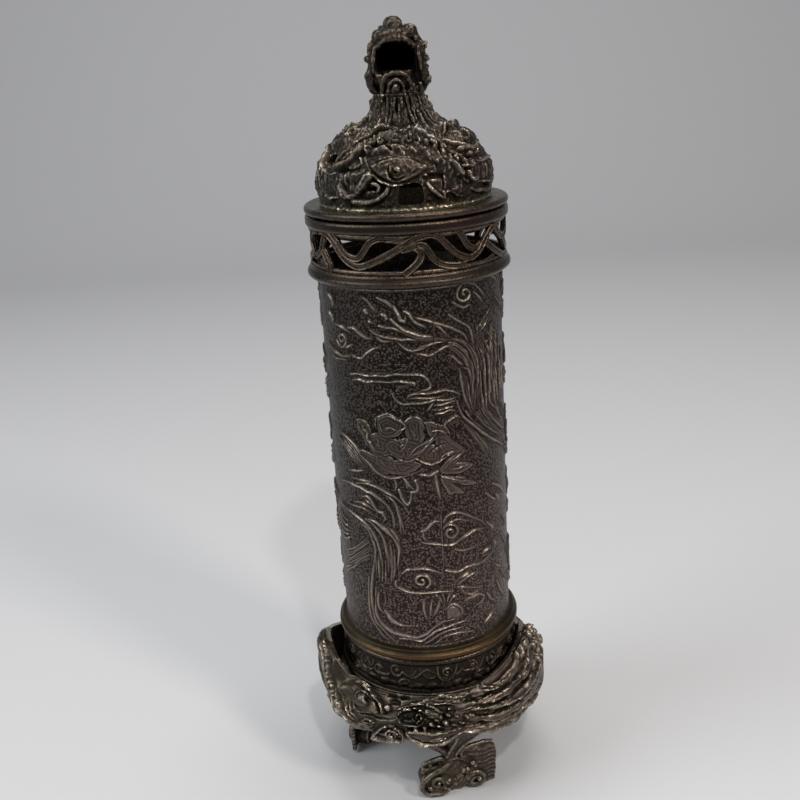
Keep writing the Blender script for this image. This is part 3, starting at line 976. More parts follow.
def rounded(corners, radius, parts=4):
    """An outline with its inner corners rounded off."""
    p = [np.array(c, float) for c in corners]
    out = [p[0]]
    for a, b, c in zip(p, p[1:], p[2:]):
        reach = min(radius, 0.45 * np.linalg.norm(b - a), 0.45 * np.linalg.norm(c - b))
        first = b + (a - b) / np.linalg.norm(a - b) * reach
        last = b + (c - b) / np.linalg.norm(c - b) * reach
        for t in np.linspace(0, 1, parts + 1):
            out.append((1 - t) ** 2 * first + 2 * t * (1 - t) * b + t * t * last)
    return out + [p[-1]]


def make_rings():
    bore = TUBE_RADIUS - TUBE_WALL
    turned_ring("foot_ring_band", rounded([
        (SPIGOT_RADIUS - 0.4, SPIGOT_BOTTOM), (SPIGOT_RADIUS, SPIGOT_BOTTOM + 0.5),
        (SPIGOT_RADIUS, RING_BOTTOM), (RING_RADIUS - 0.5, RING_BOTTOM), (RING_RADIUS, RING_BOTTOM + 0.9),
        (RING_RADIUS, RING_BOTTOM + 1.7), (RING_RADIUS - 0.7, RING_BOTTOM + 2.3),
        (RING_RADIUS - 0.9, RING_BOTTOM + 2.7), (RING_RADIUS - 1.0, RING_BOTTOM + 3.1),
        (TUBE_RADIUS, TUBE_BOTTOM)], 0.3),
        [(SPIGOT_RADIUS - SPIGOT_WALL, TUBE_BOTTOM), (SPIGOT_RADIUS - SPIGOT_WALL, SPIGOT_BOTTOM)],
        BRASS, "tube", ["foot_ring"], sooty_above=RING_BOTTOM + 2.1)
    turned_ring("bead_band", rounded([
        (TUBE_RADIUS + 0.7, TUBE_TOP), (BEAD_RADIUS - 0.9, TUBE_TOP + 0.3),
        (BEAD_RADIUS - 0.1, TUBE_TOP + 0.9), (BEAD_RADIUS, TUBE_TOP + 1.7),
        (BEAD_RADIUS - 0.35, TUBE_TOP + 2.3), (BEAD_RADIUS - 0.75, TUBE_TOP + 2.5),
        (BEAD_RADIUS - 0.7, TUBE_TOP + 2.9), (BEAD_RADIUS - 0.9, BAND_BOTTOM - 0.3),
        (BAND_RADIUS - 0.4, BAND_BOTTOM)], 0.45),
        [(bore, BAND_BOTTOM), (bore, TUBE_TOP)], RINGS, "tube", ["bead_ring"])
    turned_ring("collar_band", rounded([
        (COLLAR_BORE, COLLAR_BOTTOM), (COLLAR_RADIUS - 0.5, COLLAR_BOTTOM),
        (COLLAR_RADIUS, COLLAR_BOTTOM + 0.5), (COLLAR_RADIUS, COLLAR_TOP - 0.5),
        (COLLAR_RADIUS - 0.5, COLLAR_TOP), (COLLAR_BORE, COLLAR_TOP)], 0.35),
        [], RINGS, "tube", ["collar_ring"])
    turned_ring("flange_plate", rounded([
        (FLANGE_HOLE, FLANGE_BOTTOM), (FLANGE_RADIUS - 0.6, FLANGE_BOTTOM),
        (FLANGE_RADIUS, FLANGE_BOTTOM + 0.6), (FLANGE_RADIUS, DOME_BOTTOM - 0.7),
        (FLANGE_RADIUS - 0.6, DOME_BOTTOM - 0.15), (FLANGE_RADIUS - 2.4, DOME_BOTTOM - 0.05),
        (FLANGE_HOLE, DOME_BOTTOM)], 0.4),
        [], RINGS, "lid", ["lid_flange"], unevenness=0.06, dusty_above=DOME_BOTTOM - 0.3)
    inside = COLLAR_BORE - 0.3
    turned_ring("lid_spigot_ring", rounded([
        (inside - 0.5, FLANGE_BOTTOM - 5.5), (inside, FLANGE_BOTTOM - 5.0), (inside, FLANGE_BOTTOM)], 0.3),
        [(inside - 1.6, FLANGE_BOTTOM), (inside - 1.6, FLANGE_BOTTOM - 5.5)],
        RINGS, "lid", ["lid_spigot"], columns=240)
    turned_ring("cup_floor", rounded([
        (0.05, FLOOR_BOTTOM), (SPIGOT_RADIUS - 0.3, FLOOR_BOTTOM), (SPIGOT_RADIUS, FLOOR_BOTTOM + 0.3),
        (SPIGOT_RADIUS, FLOOR_TOP - 0.3), (SPIGOT_RADIUS - 0.3, FLOOR_TOP), (0.05, FLOOR_TOP)], 0.3),
        [], CAST, "base", ["base_floor"], columns=180, step=0.6)


def make_holder():
    """The loose ash dish with its screwed-in stick socket."""
    turned_ring("ash_dish_bowl", rounded([
        (5.5, 29.1), (7.5, 29.1), (7.5, 32.1), (16.6, 32.1), (18.6, 33.6), (18.6, 36.6), (18.3, 37.1),
        (17.2, 37.1), (17.0, 36.6), (17.0, 34.3), (15.8, 33.7), (2.3, 33.7), (2.3, 32.1), (5.5, 32.1),
        (5.5, 29.3)], 0.4),
        [], HOLDER, "holder", ["ash_dish"], columns=200, unevenness=0.03)
    turned_ring("stick_holder", rounded([
        (0.05, 29.4), (1.8, 29.4), (2.0, 29.7), (2.0, 34.0), (6.2, 34.0), (6.2, 35.0), (5.6, 35.4),
        (3.6, 36.2), (3.0, 38.0), (2.9, 46.6), (3.4, 48.0), (3.4, 49.0), (2.9, 50.0), (1.5, 50.0),
        (1.5, 36.0), (0.05, 36.0)],
        0.3), [], HOLDER, "holder", ["stick_socket"], columns=96, step=0.35, unevenness=0.0)
    # the nut: six flats, its corners turned off at both ends, and the thread's bore
    columns, across_flats, across_corners, bore = 96, 7.0, 8.0, 2.3
    angles = full_turn(columns)
    flats = across_flats / 2 / np.cos(((angles + 30) % 60 - 30) * RAD)
    inset = np.array([[0.45, 0.18, 0, 0, 0.18, 0.45]]).T
    radius = np.vstack([np.minimum(flats, across_corners / 2 - 1.6 * inset), np.full((2, columns), bore)])
    level = np.array([[29.4, 29.55, 29.9, 31.3, 31.65, 31.8, 31.8, 29.4]]).T
    points = round_axis(radius, level, angles)
    mesh = mesh_from("nut", points.reshape(-1, 3), grid_faces(len(level), columns))
    finish_piece("holder_hex_nut", mesh, HOLDER, "holder", ["holder_nut"], angle=30)


# Cup and wreath
def carve_cup(band):
    """Scroll clouds under the rim and a row of rounded knots over the ledge, four times round."""
    for turn in (0, 90, 180, 270):
        def put(points, width=0.85, height=0.55, turn=turn, **options):
            band.stroke([(a + turn, z) for a, z in points], width, height, **({"ends": (0.9, 0.6)} | options))

        def hook(middle, level, size, start, sweep, tail, turn=turn):
            """An open ring with a bead in it and a tail that runs on along the band."""
            t = np.linspace(0, 1, 9)
            way = (start + sweep * t) * RAD
            put([*zip(middle + size * np.cos(way) / (RAD * CUP_RADIUS), level + size * np.sin(way)), *tail],
                0.8, 0.6)
            put([(middle - 0.5, level), (middle + 0.7, level + 0.1)], 1.2, 0.55, ends=(1, 1))

        hook(-22.5, 43.5, 1.7, 60, 290, ((-15, 42.2), (-11.5, 42.9), (-9.5, 44.2)))
        hook(27, 43.6, 1.5, 120, -250, ((22, 42.6), (19.5, 43.4)))
        hook(42.5, 43.0, 1.9, 150, 270, ((48.5, 42.6), (50.5, 44.4)))
        hook(-35.5, 42.6, 1.4, 30, 260, ((-31, 41.4), (-28, 41.9)))
        band.spiral((9.6 + turn, 43.1), 2.0, 1.7, 0.75, 0.6, start=200)
        put([(4, 44.9), (4.6, 42.4), (8, 40.9), (13, 41.3), (15.8, 43.2), (17, 45)])
        put([(-14, 41.6), (-9, 42), (-5.6, 43.6), (-2, 44.4), (1.4, 43.4), (4.4, 41.8)], 0.8, 0.5)
        put([(-7, 44.8), (-4.6, 42.6), (-0.6, 41.7), (3.2, 42.2)], 0.7, 0.4)
        put([(13.6, 41.6), (18, 42.4), (22, 44.6)], 0.7, 0.45)
        put([(29, 41.4), (33, 42.6), (36.6, 44.6)], 0.75, 0.45)
        put([(46, 41.2), (50, 41.8), (53, 43.8)], 0.7, 0.45)
        for angle, level, wide, tall in ((-41.5, 38.9, 2.2, 0.5), (-33, 38.6, 2.6, 0.55),
                                         (-26.4, 38.9, 1.8, 0.4), (-19, 39.3, 2.4, 0.55),
                                         (-12.6, 38.7, 1.7, 0.45), (-7.6, 39.2, 2.1, 0.5),
                                         (-1.2, 38.9, 3.0, 0.65), (5, 38.5, 1.7, 0.4), (10, 38.6, 2.3, 0.5),
                                         (16.6, 39.2, 2.4, 0.55), (23.4, 38.6, 1.9, 0.45),
                                         (32.6, 38.8, 2.7, 0.6), (39.6, 39, 2.0, 0.45),
                                         (45, 38.6, 1.6, 0.35)):
            put([(angle - 1.6, level - 0.1), (angle + 1.6, level + 0.1)], wide, tall, ends=(0.9, 0.9))
        for first in (-37, -22, 6, 29):
            put([(first, 38.2), (first + 1.4, 40.6), (first + 5.5, 41), (first + 8, 40), (first + 8.4, 38.2)],
                0.6, 0.45)
        band.spiral((32.6 + turn, 38.9), 1.2, 1.2, 0.5, 0.8)
        band.spiral((10 + turn, 38.7), 1.1, 1.1, 0.45, 0.7, start=180)


def make_cup():
    """The cup under the tube: a band of scroll clouds between its rim and its ledge."""
    outer = rounded([(CUP_RADIUS - 0.6, CUP_BOTTOM), (CUP_RADIUS, CUP_BOTTOM + 0.6),
                     (CUP_RADIUS, LEDGE_MIDDLE - 1.0), (LEDGE_RADIUS, LEDGE_MIDDLE - 0.5),
                     (LEDGE_RADIUS, LEDGE_MIDDLE + 0.3), (CUP_RADIUS - 0.2, LEDGE_MIDDLE + 0.9),
                     (CUP_RADIUS - 0.2, CUP_TOP - 1.9), (CUP_RADIUS + 0.35, CUP_TOP - 1.3),
                     (CUP_RADIUS + 0.35, CUP_TOP - 0.5), (CUP_RADIUS - 0.2, CUP_TOP)], 0.3)
    _, points, normals = outline_steps(outer, 0.26)
    band = Relief((-180, 180), (LEDGE_MIDDLE, CUP_TOP), lambda s: CUP_RADIUS, 0.25)
    carve_cup(band)
    columns = 640
    carved = np.zeros((len(points), columns))
    flat = (points[:, 1] > LEDGE_MIDDLE + 0.9) & (points[:, 1] < CUP_TOP - 1.9)
    carved[flat] = band.read(points[flat, 1], full_turn(columns))
    carved += wavy(columns, len(points), 0.04, ((3, 0.3), (8, 1.0), (21, 2.0)))
    bore = SPIGOT_RADIUS + 0.3
    hole = 19.5
    section = np.vstack([points, [(bore, CUP_TOP), (bore, FLOOR_BOTTOM), (hole, FLOOR_BOTTOM),
                                  (hole, CUP_BOTTOM)]])
    mesh = ring_mesh("cup", section, columns, (normals, carved))
    finish_piece("footed_cup", mesh, RINGS, "base", ["base_cup"], rounds=(3, 12))


# Height of the wreath's edge and how far its upper half leans in, by angle
WREATH_EDGE = ((-180, 35), (-150, 35), (-122, 35.9), (-104, 40.4), (-92, 43.4), (-76, 43.9), (-66, 41.4),
               (-59, 36.9), (8, 36.9), (28, 37.5), (44, 39.7), (60, 42), (76, 43.6), (90, 42.8), (104, 37.5),
               (130, 35), (180, 35))
WREATH_LEAN = ((-180, 0), (-66, 0), (-54, 3.4), (30, 3.4), (60, 2.6), (96, 2.2), (120, 0), (180, 0))
# How far its face lies inside its widest radius, by share of the height
WREATH_INSET = ((0, 4.7), (0.05, 2.9), (0.13, 1.4), (0.25, 0.6), (0.38, 0.3), (0.64, 0.5), (0.8, 1.2),
                (0.96, 2.2), (1, 3.2))
# Share of the way up its face against share of the height
FACE_RUN, FACE_RISE = (0, 0.2, 0.41, 0.51, 0.63, 0.78, 0.93, 1), (0, 0.13, 0.38, 0.5, 0.64, 0.8, 0.96, 1)
FACE_LENGTH = 20.0


def on_face(points):
    """Points given as angle and level, moved to the wreath's own run up its face."""
    p = np.array(points, float)
    edge = np.interp((p[:, 0] + 180) % 360 - 180, *zip(*WREATH_EDGE))
    share = (p[:, 1] - WREATH_BOTTOM) / (edge - WREATH_BOTTOM)
    return np.c_[p[:, 0], FACE_LENGTH * np.interp(share, FACE_RISE, FACE_RUN)]


def carve_wreath(relief):
    """The dragon round the cup: great eye and cheek at the left, small eye, scrolls and a long mane."""
    def put(points, width, height, **options):
        relief.stroke(on_face(points), width, height, **options)

    def curl(centre, size, turns, width, height, **options):
        angle, run = on_face([centre])[0]
        relief.spiral((angle, run), size, turns, width, height, **options)

    # mane: broad locks that part behind the jaw and climb to the right, each with fine hairs on it
    locks = (
        [(9, 36.2), (16, 36.6), (26, 36.4), (38, 36.9), (50, 38.2), (58, 39.8), (66, 41.6), (74, 43)],
        [(11, 34.9), (22, 34.6), (32, 34.4), (44, 35), (54, 36.2), (63, 37.8), (72, 40), (81, 42.2)],
        [(12, 33.3), (22, 32.9), (34, 32.2), (46, 32.2), (58, 33), (68, 34.6), (78, 37), (88, 40)],
        [(10, 31.4), (20, 31.3), (31, 30.2), (43, 29.7), (55, 30), (66, 31), (78, 33.2), (91, 36.6)],
        [(12, 29.3), (24.7, 28.4), (36, 27.6), (47, 27.4), (58, 28), (70, 29), (84, 31), (97, 33.4)],
        [(20, 26.6), (30, 25.7), (42, 25.2), (56, 25.6), (70, 26.6), (86, 28.4), (100, 30)],
    )
    for k, lock in enumerate(locks):
        p = np.array(lock, float)
        sway = 0.55 * np.sin(0.11 * p[:, 0] + 2.1 * k)
        put(np.c_[p[:, 0], p[:, 1] + sway], 3.6, 1.7, ends=(0.35, 0.5))
        for offset in (-0.75, -0.25, 0.3, 0.8):
            first, last = sorted(rng.choice(len(p), 2, replace=False))
            last = min(len(p), max(last, first + 4) + 1)
            wave = 0.35 * np.sin(0.16 * p[:, 0] + rng.uniform(0, 6))
            put(np.c_[p[:, 0], p[:, 1] + sway + offset + wave][first:last], rng.uniform(1.0, 1.4),
                rng.uniform(1.8, 2.2), ends=(0.2, 0.3))
    for upper, lower in zip(locks, locks[1:]):
        p = (np.array(upper, float)[1:7] + np.array(lower, float)[1:7]) / 2
        put(p, 1.2, 1.3, mode="cut")
    for _ in range(36):
        angle, share = rng.uniform(14, 96), rng.uniform(0.1, 0.95)
        level = WREATH_BOTTOM + share * (np.interp(angle, *zip(*WREATH_EDGE)) - WREATH_BOTTOM)
        rise = np.interp(angle, (10, 40, 60, 90), (-0.3, 0.2, 0.9, 1.6))
        put([(angle - 3, level - rise), (angle, level + 0.25), (angle + 3, level + rise)],
            rng.uniform(1.0, 1.6), rng.uniform(0.25, 0.55), mode="add", ends=(0.3, 0.3))
    for angle, level, size in ((71.6, 39.9, 2.0), (76.4, 42.4, 2.2), (82.8, 41.2, 2.3), (79, 39.2, 1.7),
                               (87.6, 39, 2.2), (72.4, 36, 1.8), (84, 36.8, 1.9), (90.2, 35.6, 2.3),
                               (78.6, 34.4, 1.8), (86, 32.8, 2.1), (61.2, 38.3, 1.6), (67, 41.4, 1.9),
                               (73, 29.6, 1.9), (84, 29.4, 2.2), (92.6, 31.4, 2.0), (66, 33.2, 1.7),
                               (95, 38.2, 1.8), (57.6, 41, 1.6)):
        put([(angle - 0.9, level - 0.3), (angle + 0.9, level + 0.3)], size, 1.3 + 0.5 * size, ends=(0.9, 0.9))
    # the great eye, its two lids and the ball at their end
    put([(-58, 33.4), (-50, 35), (-44, 34.2), (-40, 32.6)], 6.4, 1.1, form="soft", ends=(0.8, 0.9))
    put([(-43.6, 33.9), (-39.4, 34.4)], 5.2, 2.0, ends=(1, 1))
    put([(-37.6, 34.5), (-36.6, 34.1)], 1.9, 1.7, mode="cut", ends=(1, 1))
    put([(-39.4, 35), (-38.6, 34.9)], 1.0, 2.5, ends=(1, 1))
    curl((-41.4, 34.1), 1.9, 1.0, 0.6, 2.3, start=70)
    put([(-51, 36.3), (-46, 36.6), (-40, 36.4), (-35.5, 36), (-31.2, 35.2), (-27.8, 34), (-26.6, 32.7)], 1.25,
        2.7, ends=(0.4, 0.9))
    put([(-45, 35.7), (-40, 35.6), (-36.2, 35.1), (-32.8, 34.4), (-30.4, 33.4), (-29.8, 32.3)], 0.85, 2.2,
        ends=(0.4, 0.8))
    put([(-25, 33.9), (-24, 33.7)], 2.1, 2.1, ends=(1, 1))
    put([(-46.4, 34.4), (-45.6, 32.6), (-43, 31.2), (-38, 31.2), (-33, 31.9)], 0.9, 1.6)
    # cheek: folds that run down to the left, with a deep crease between them
    put([(-64.5, 30.6), (-60, 27.6), (-54, 25.4), (-48, 24.2), (-42, 23.9)], 2.0, 1.7, ends=(0.5, 0.6))
    put([(-61, 33.2), (-56, 30), (-51, 27.4), (-46, 25.8), (-40, 25)], 1.5, 1.5, ends=(0.3, 0.6))
    put([(-60, 29.8), (-55, 27.3), (-50, 25.6), (-46, 24.9)], 1.3, 1.5, mode="cut")
    put([(-56, 33), (-51, 30.4), (-46, 28.6), (-42.6, 28.2)], 1.3, 0.9, mode="cut")
    for points in ([(-52, 32), (-48, 29.6), (-43.6, 27)], [(-49, 32.4), (-45.6, 30.2), (-42, 28.4)]):
        put(points, 0.7, 1.2)
    put([(-37.6, 27.4), (-33.6, 28.4)], 4.2, 1.9, ends=(1, 0.9))
    put([(-36.8, 29.6), (-33.4, 30.3), (-30.4, 29.8)], 0.8, 2.4, ends=(0.5, 0.5))
    put([(-40.2, 30.6), (-34, 31.4), (-27, 31.4), (-20, 32)], 1.2, 0.9, mode="cut")
    # scroll in its pointed frame, then the small eye and the leaf beside it
    put([(-32, 25), (-28.4, 27.8), (-24, 29.9), (-19, 29.9), (-15.2, 28.2), (-15.8, 26), (-20, 24.6),
         (-26, 24.2), (-32, 25)], 0.85, 2.1, ends=(0.9, 0.9))
    put([(-29, 25.8), (-22, 26.9), (-17, 27)], 3.6, 0.9, form="soft", ends=(0.6, 0.9))
    curl((-20.8, 27.6), 2.0, 1.7, 0.75, 2.0, start=30)
    put([(-19, 32.6), (-15.4, 34), (-11, 34.5), (-6.4, 34.2), (-3.6, 33)], 0.8, 2.2)
    put([(-19, 32.4), (-15, 31.2), (-10.6, 30.9), (-6, 31.4), (-3.6, 32.8)], 0.8, 2.2)
    curl((-7.8, 32.8), 1.6, 1.5, 0.65, 2.4, start=120)
    put([(-15.6, 32.5), (-12, 32.6)], 2.0, 0.8, mode="cut", ends=(1, 1))
    put([(-3.4, 35.3), (-0.4, 34.9), (3.8, 33.7)], 1.3, 2.9, ends=(0.9, 0.7))
    put([(-2.6, 34), (0, 33.4), (3, 32.8)], 3.0, 1.7, ends=(0.9, 0.8))
    # brow strands over the small eye
    for k in range(9):
        start = (-20.6 + 1.5 * k, 33.9 + 0.3 * min(k, 6))
        put([start, (-13 + 1.4 * k, 34.9 + 0.24 * min(k, 6)), (-4 + 1.2 * k, 35.7 + 0.12 * min(k, 7)),
             (6 + k, 35.4 + 0.14 * min(k, 7)), (13 + k, 34.6 + 0.22 * k)], rng.uniform(0.75, 1.1),
            rng.uniform(1.2, 1.9), ends=(0.3, 0.4))
    # jaw: a long striped leaf with a bright lip, and broken knots above it
    put([(-12, 28.6), (-4, 27.8), (5, 28.2), (13, 28.9)], 4.6, 1.1, form="soft", ends=(0.9, 0.5))
    put([(-13.4, 29), (-10, 27), (-4, 25.7), (3, 26), (10, 27.6), (17, 29)], 0.9, 2.0, ends=(0.8, 0.4))
    put([(-13, 29.5), (-8, 29.7), (0, 29.2), (8, 29.4), (16, 30)], 0.9, 1.8, ends=(0.8, 0.4))
    for k in range(3):
        put([(-10.4 + k, 28.4 - 0.5 * k), (-3, 27.6 - 0.4 * k), (5, 27.8 - 0.2 * k), (11, 28.5 - 0.1 * k)],
            0.5, 1.6)
    for angle, level, size in ((-1, 31.2, 1.5), (2.4, 30.7, 1.2), (5.6, 31.4, 1.7), (7.6, 32.9, 1.3),
                               (9.6, 30.7, 1.3), (5.4, 33.7, 1.1), (11.6, 32.4, 1.4), (13.6, 30.9, 1.2),
                               (8.8, 34.3, 1.2), (-4.6, 30.6, 1.2), (1.6, 32, 1.0), (16.4, 32, 1.2),
                               (-8.4, 30.2, 1.0)):
        put([(angle - 0.8, level + 0.2), (angle + 1.0, level - 0.1)], size, 1.5 + 0.5 * size, ends=(0.9, 0.6))
    for points in ([(-24, 35.6), (-19, 35.4)], [(-22, 36.4), (-14, 36.7)], [(-26, 36.5), (-22, 36.6)]):
        put(points, 2.2, 1.4, mode="cut", ends=(0.9, 0.7))
    put([(-13, 30.4), (-7, 30.2), (-1, 30.3), (5, 30.2)], 0.9, 0.8, mode="cut")
    # left loop: smooth outside, a beaded line near its edge
    for points, width, height in (([(-104, 39), (-92, 41), (-82, 39.6), (-74, 35.6), (-68, 31), (-64, 27)],
                                   4.6, 0.9),
                                  ([(-96, 34), (-84, 33.4), (-76, 30), (-70, 26.4)], 3.4, 0.7)):
        put(points, width, height, form="soft", ends=(0.6, 0.8))
    beads = smooth([(-80, 43.3), (-73.6, 42), (-69.4, 39.6), (-66.4, 36.6), (-63, 33.4), (-60, 30.8)], 1.2,
                   (RAD * 34, 1))
    put(beads, 0.9, 1.1, ends=(0.6, 0.6))
    for angle, level in beads:
        put([(angle - 0.3, level), (angle + 0.3, level)], rng.uniform(0.6, 0.95), rng.uniform(1.2, 1.7),
            ends=(1, 1))
    put([(-90, 42), (-82, 41.2), (-76, 39), (-72, 36), (-68, 32.4), (-64, 29)], 1.2, 1.0, mode="cut")
    for k in range(5):
        put([(-70 + 2.2 * k, 29 - 1.1 * k), (-66 + 2.2 * k, 26.6 - 0.7 * k)], 1.0, 1.3, ends=(0.4, 0.4))
    # behind: scrolls in a loose stream of strands
    relief.bundle(on_face([(-104, 36), (-124, 33.8), (-146, 33.6), (-166, 34)]),
                  on_face([(-98, 27), (-122, 26.6), (-146, 26), (-168, 26.6)]), 7, 1.6, 1.3, ends=(0.3, 0.3))
    relief.bundle(on_face([(100, 34.6), (124, 33.4), (150, 33.8), (186, 34)]),
                  on_face([(102, 26.6), (124, 26.2), (150, 26.8), (188, 26.6)]), 7, 1.6, 1.3, ends=(0.3, 0.3))
    for angle in (124, 156, 196, 228):
        curl((angle, 30), 3.2, 1.7, 1.1, 2.2, start=20 + angle, hand=1 if angle % 8 else -1)


def make_wreath():
    columns, outer_rows, inner_rows = 760, 84, 22
    relief = Relief((-180, 180), (0, FACE_LENGTH), lambda s: 34.0, 0.28)
    carve_wreath(relief)
    at = full_turn(columns)
    edge = np.interp(at, *zip(*WREATH_EDGE)) - 0.1
    lean = np.interp(at, *zip(*WREATH_LEAN))
    run = np.linspace(0, 1, outer_rows)[:, None]
    share = np.interp(run, FACE_RUN, FACE_RISE)
    inset = np.interp(share, *zip(*WREATH_INSET))
    # the free-standing rim stands out on the left
    loop = np.exp(-((at + 90) / 19) ** 2) * np.interp(share, (0.2, 0.45, 0.85, 1), (0, 1.2, 1.6, 0.6))
    radius = WREATH_RADIUS - 0.9 - inset + loop - lean * np.maximum(0, 2 * share - 1)
    level = WREATH_BOTTOM + (edge - WREATH_BOTTOM) * share
    climb, out = np.gradient(level, axis=0), np.gradient(radius, axis=0)
    size = np.hypot(climb, out)
    cols = np.searchsorted(relief.angles, at).clip(0, len(relief.angles) - 1)
    rows = np.clip(np.rint(run * FACE_LENGTH / (relief.levels[1] - relief.levels[0])).astype(int), 0,
                   len(relief.levels) - 1)
    height = relief.height[rows, cols] - 0.5 + wavy(columns, outer_rows, 0.3, ((5, 0.2), (9, 1.4), (14, 2.6)))
    height = height * np.clip(np.minimum(run / 0.06, (1 - run) / 0.03), 0, 1)
    radius = np.minimum(radius + height * climb / size, WREATH_RADIUS - 0.06)
    level = np.maximum(level - height * out / size, WREATH_BOTTOM)
    front = np.interp(at, (-62, -54, 34, 50), (0, 1, 1, 0))
    down = np.linspace(0, 1, inner_rows)[:, None]
    web = WREATH_BOTTOM + 5.4
    inner_level = edge - 0.4 + (web - edge) * down
    lip = radius[-1] - 1.1
    middle = np.interp(inner_level, (web, 31, 36, 44), (31.6, 32.2, 31.2, 29.8)) - 7.0 * front
    inner = np.minimum(middle, lip)
    inner = inner + (lip - inner) * np.exp(-down * 9)
    ledge = np.abs(inner_level - LEDGE_MIDDLE) < 1.6
    inner = np.maximum(inner, np.where(ledge, LEDGE_RADIUS + 0.25, CUP_RADIUS + 0.3))
    r = np.vstack([radius, inner, np.full((2, columns), CUP_RADIUS + 0.3)])
    z = np.vstack([level, inner_level, np.full(columns, web - 0.6), np.full(columns, WREATH_BOTTOM)])
    mesh = mesh_from("wreath", round_axis(r, z, at).reshape(-1, 3), grid_faces(len(r), columns))
    # olive residue in the hollows left of the middle
    residue = 0.9 * np.exp(-((at + 34) / 12) ** 2 - ((level - 31.4) / 1.3) ** 2)
    residue = residue + 0.4 * np.exp(-((at + 55) / 8) ** 2 - ((level - 34) / 3) ** 2)
    residue = np.vstack([residue, np.zeros((len(r) - outer_rows, columns))])
    finish_piece("dragon_collar", mesh, WORN, "base", ["dragon_wreath"], rounds=(4, 18),
                 depth=(0.14, 0.5), residue=residue.ravel())


# Feet
def curl_line(centre, size, turns, start, hand=1, out=26.0, close=0.8):
    """A spiral that faces outwards, as points for a roll of clay."""
    t = np.linspace(0, 1, int(14 * turns) + 6)
    reach, angle = size * (1 - close * t), (start + hand * 360 * turns * t) * RAD
    return [(centre[0] + r * math.cos(a), out, centre[1] + r * math.sin(a)) for r, a in zip(reach, angle)]


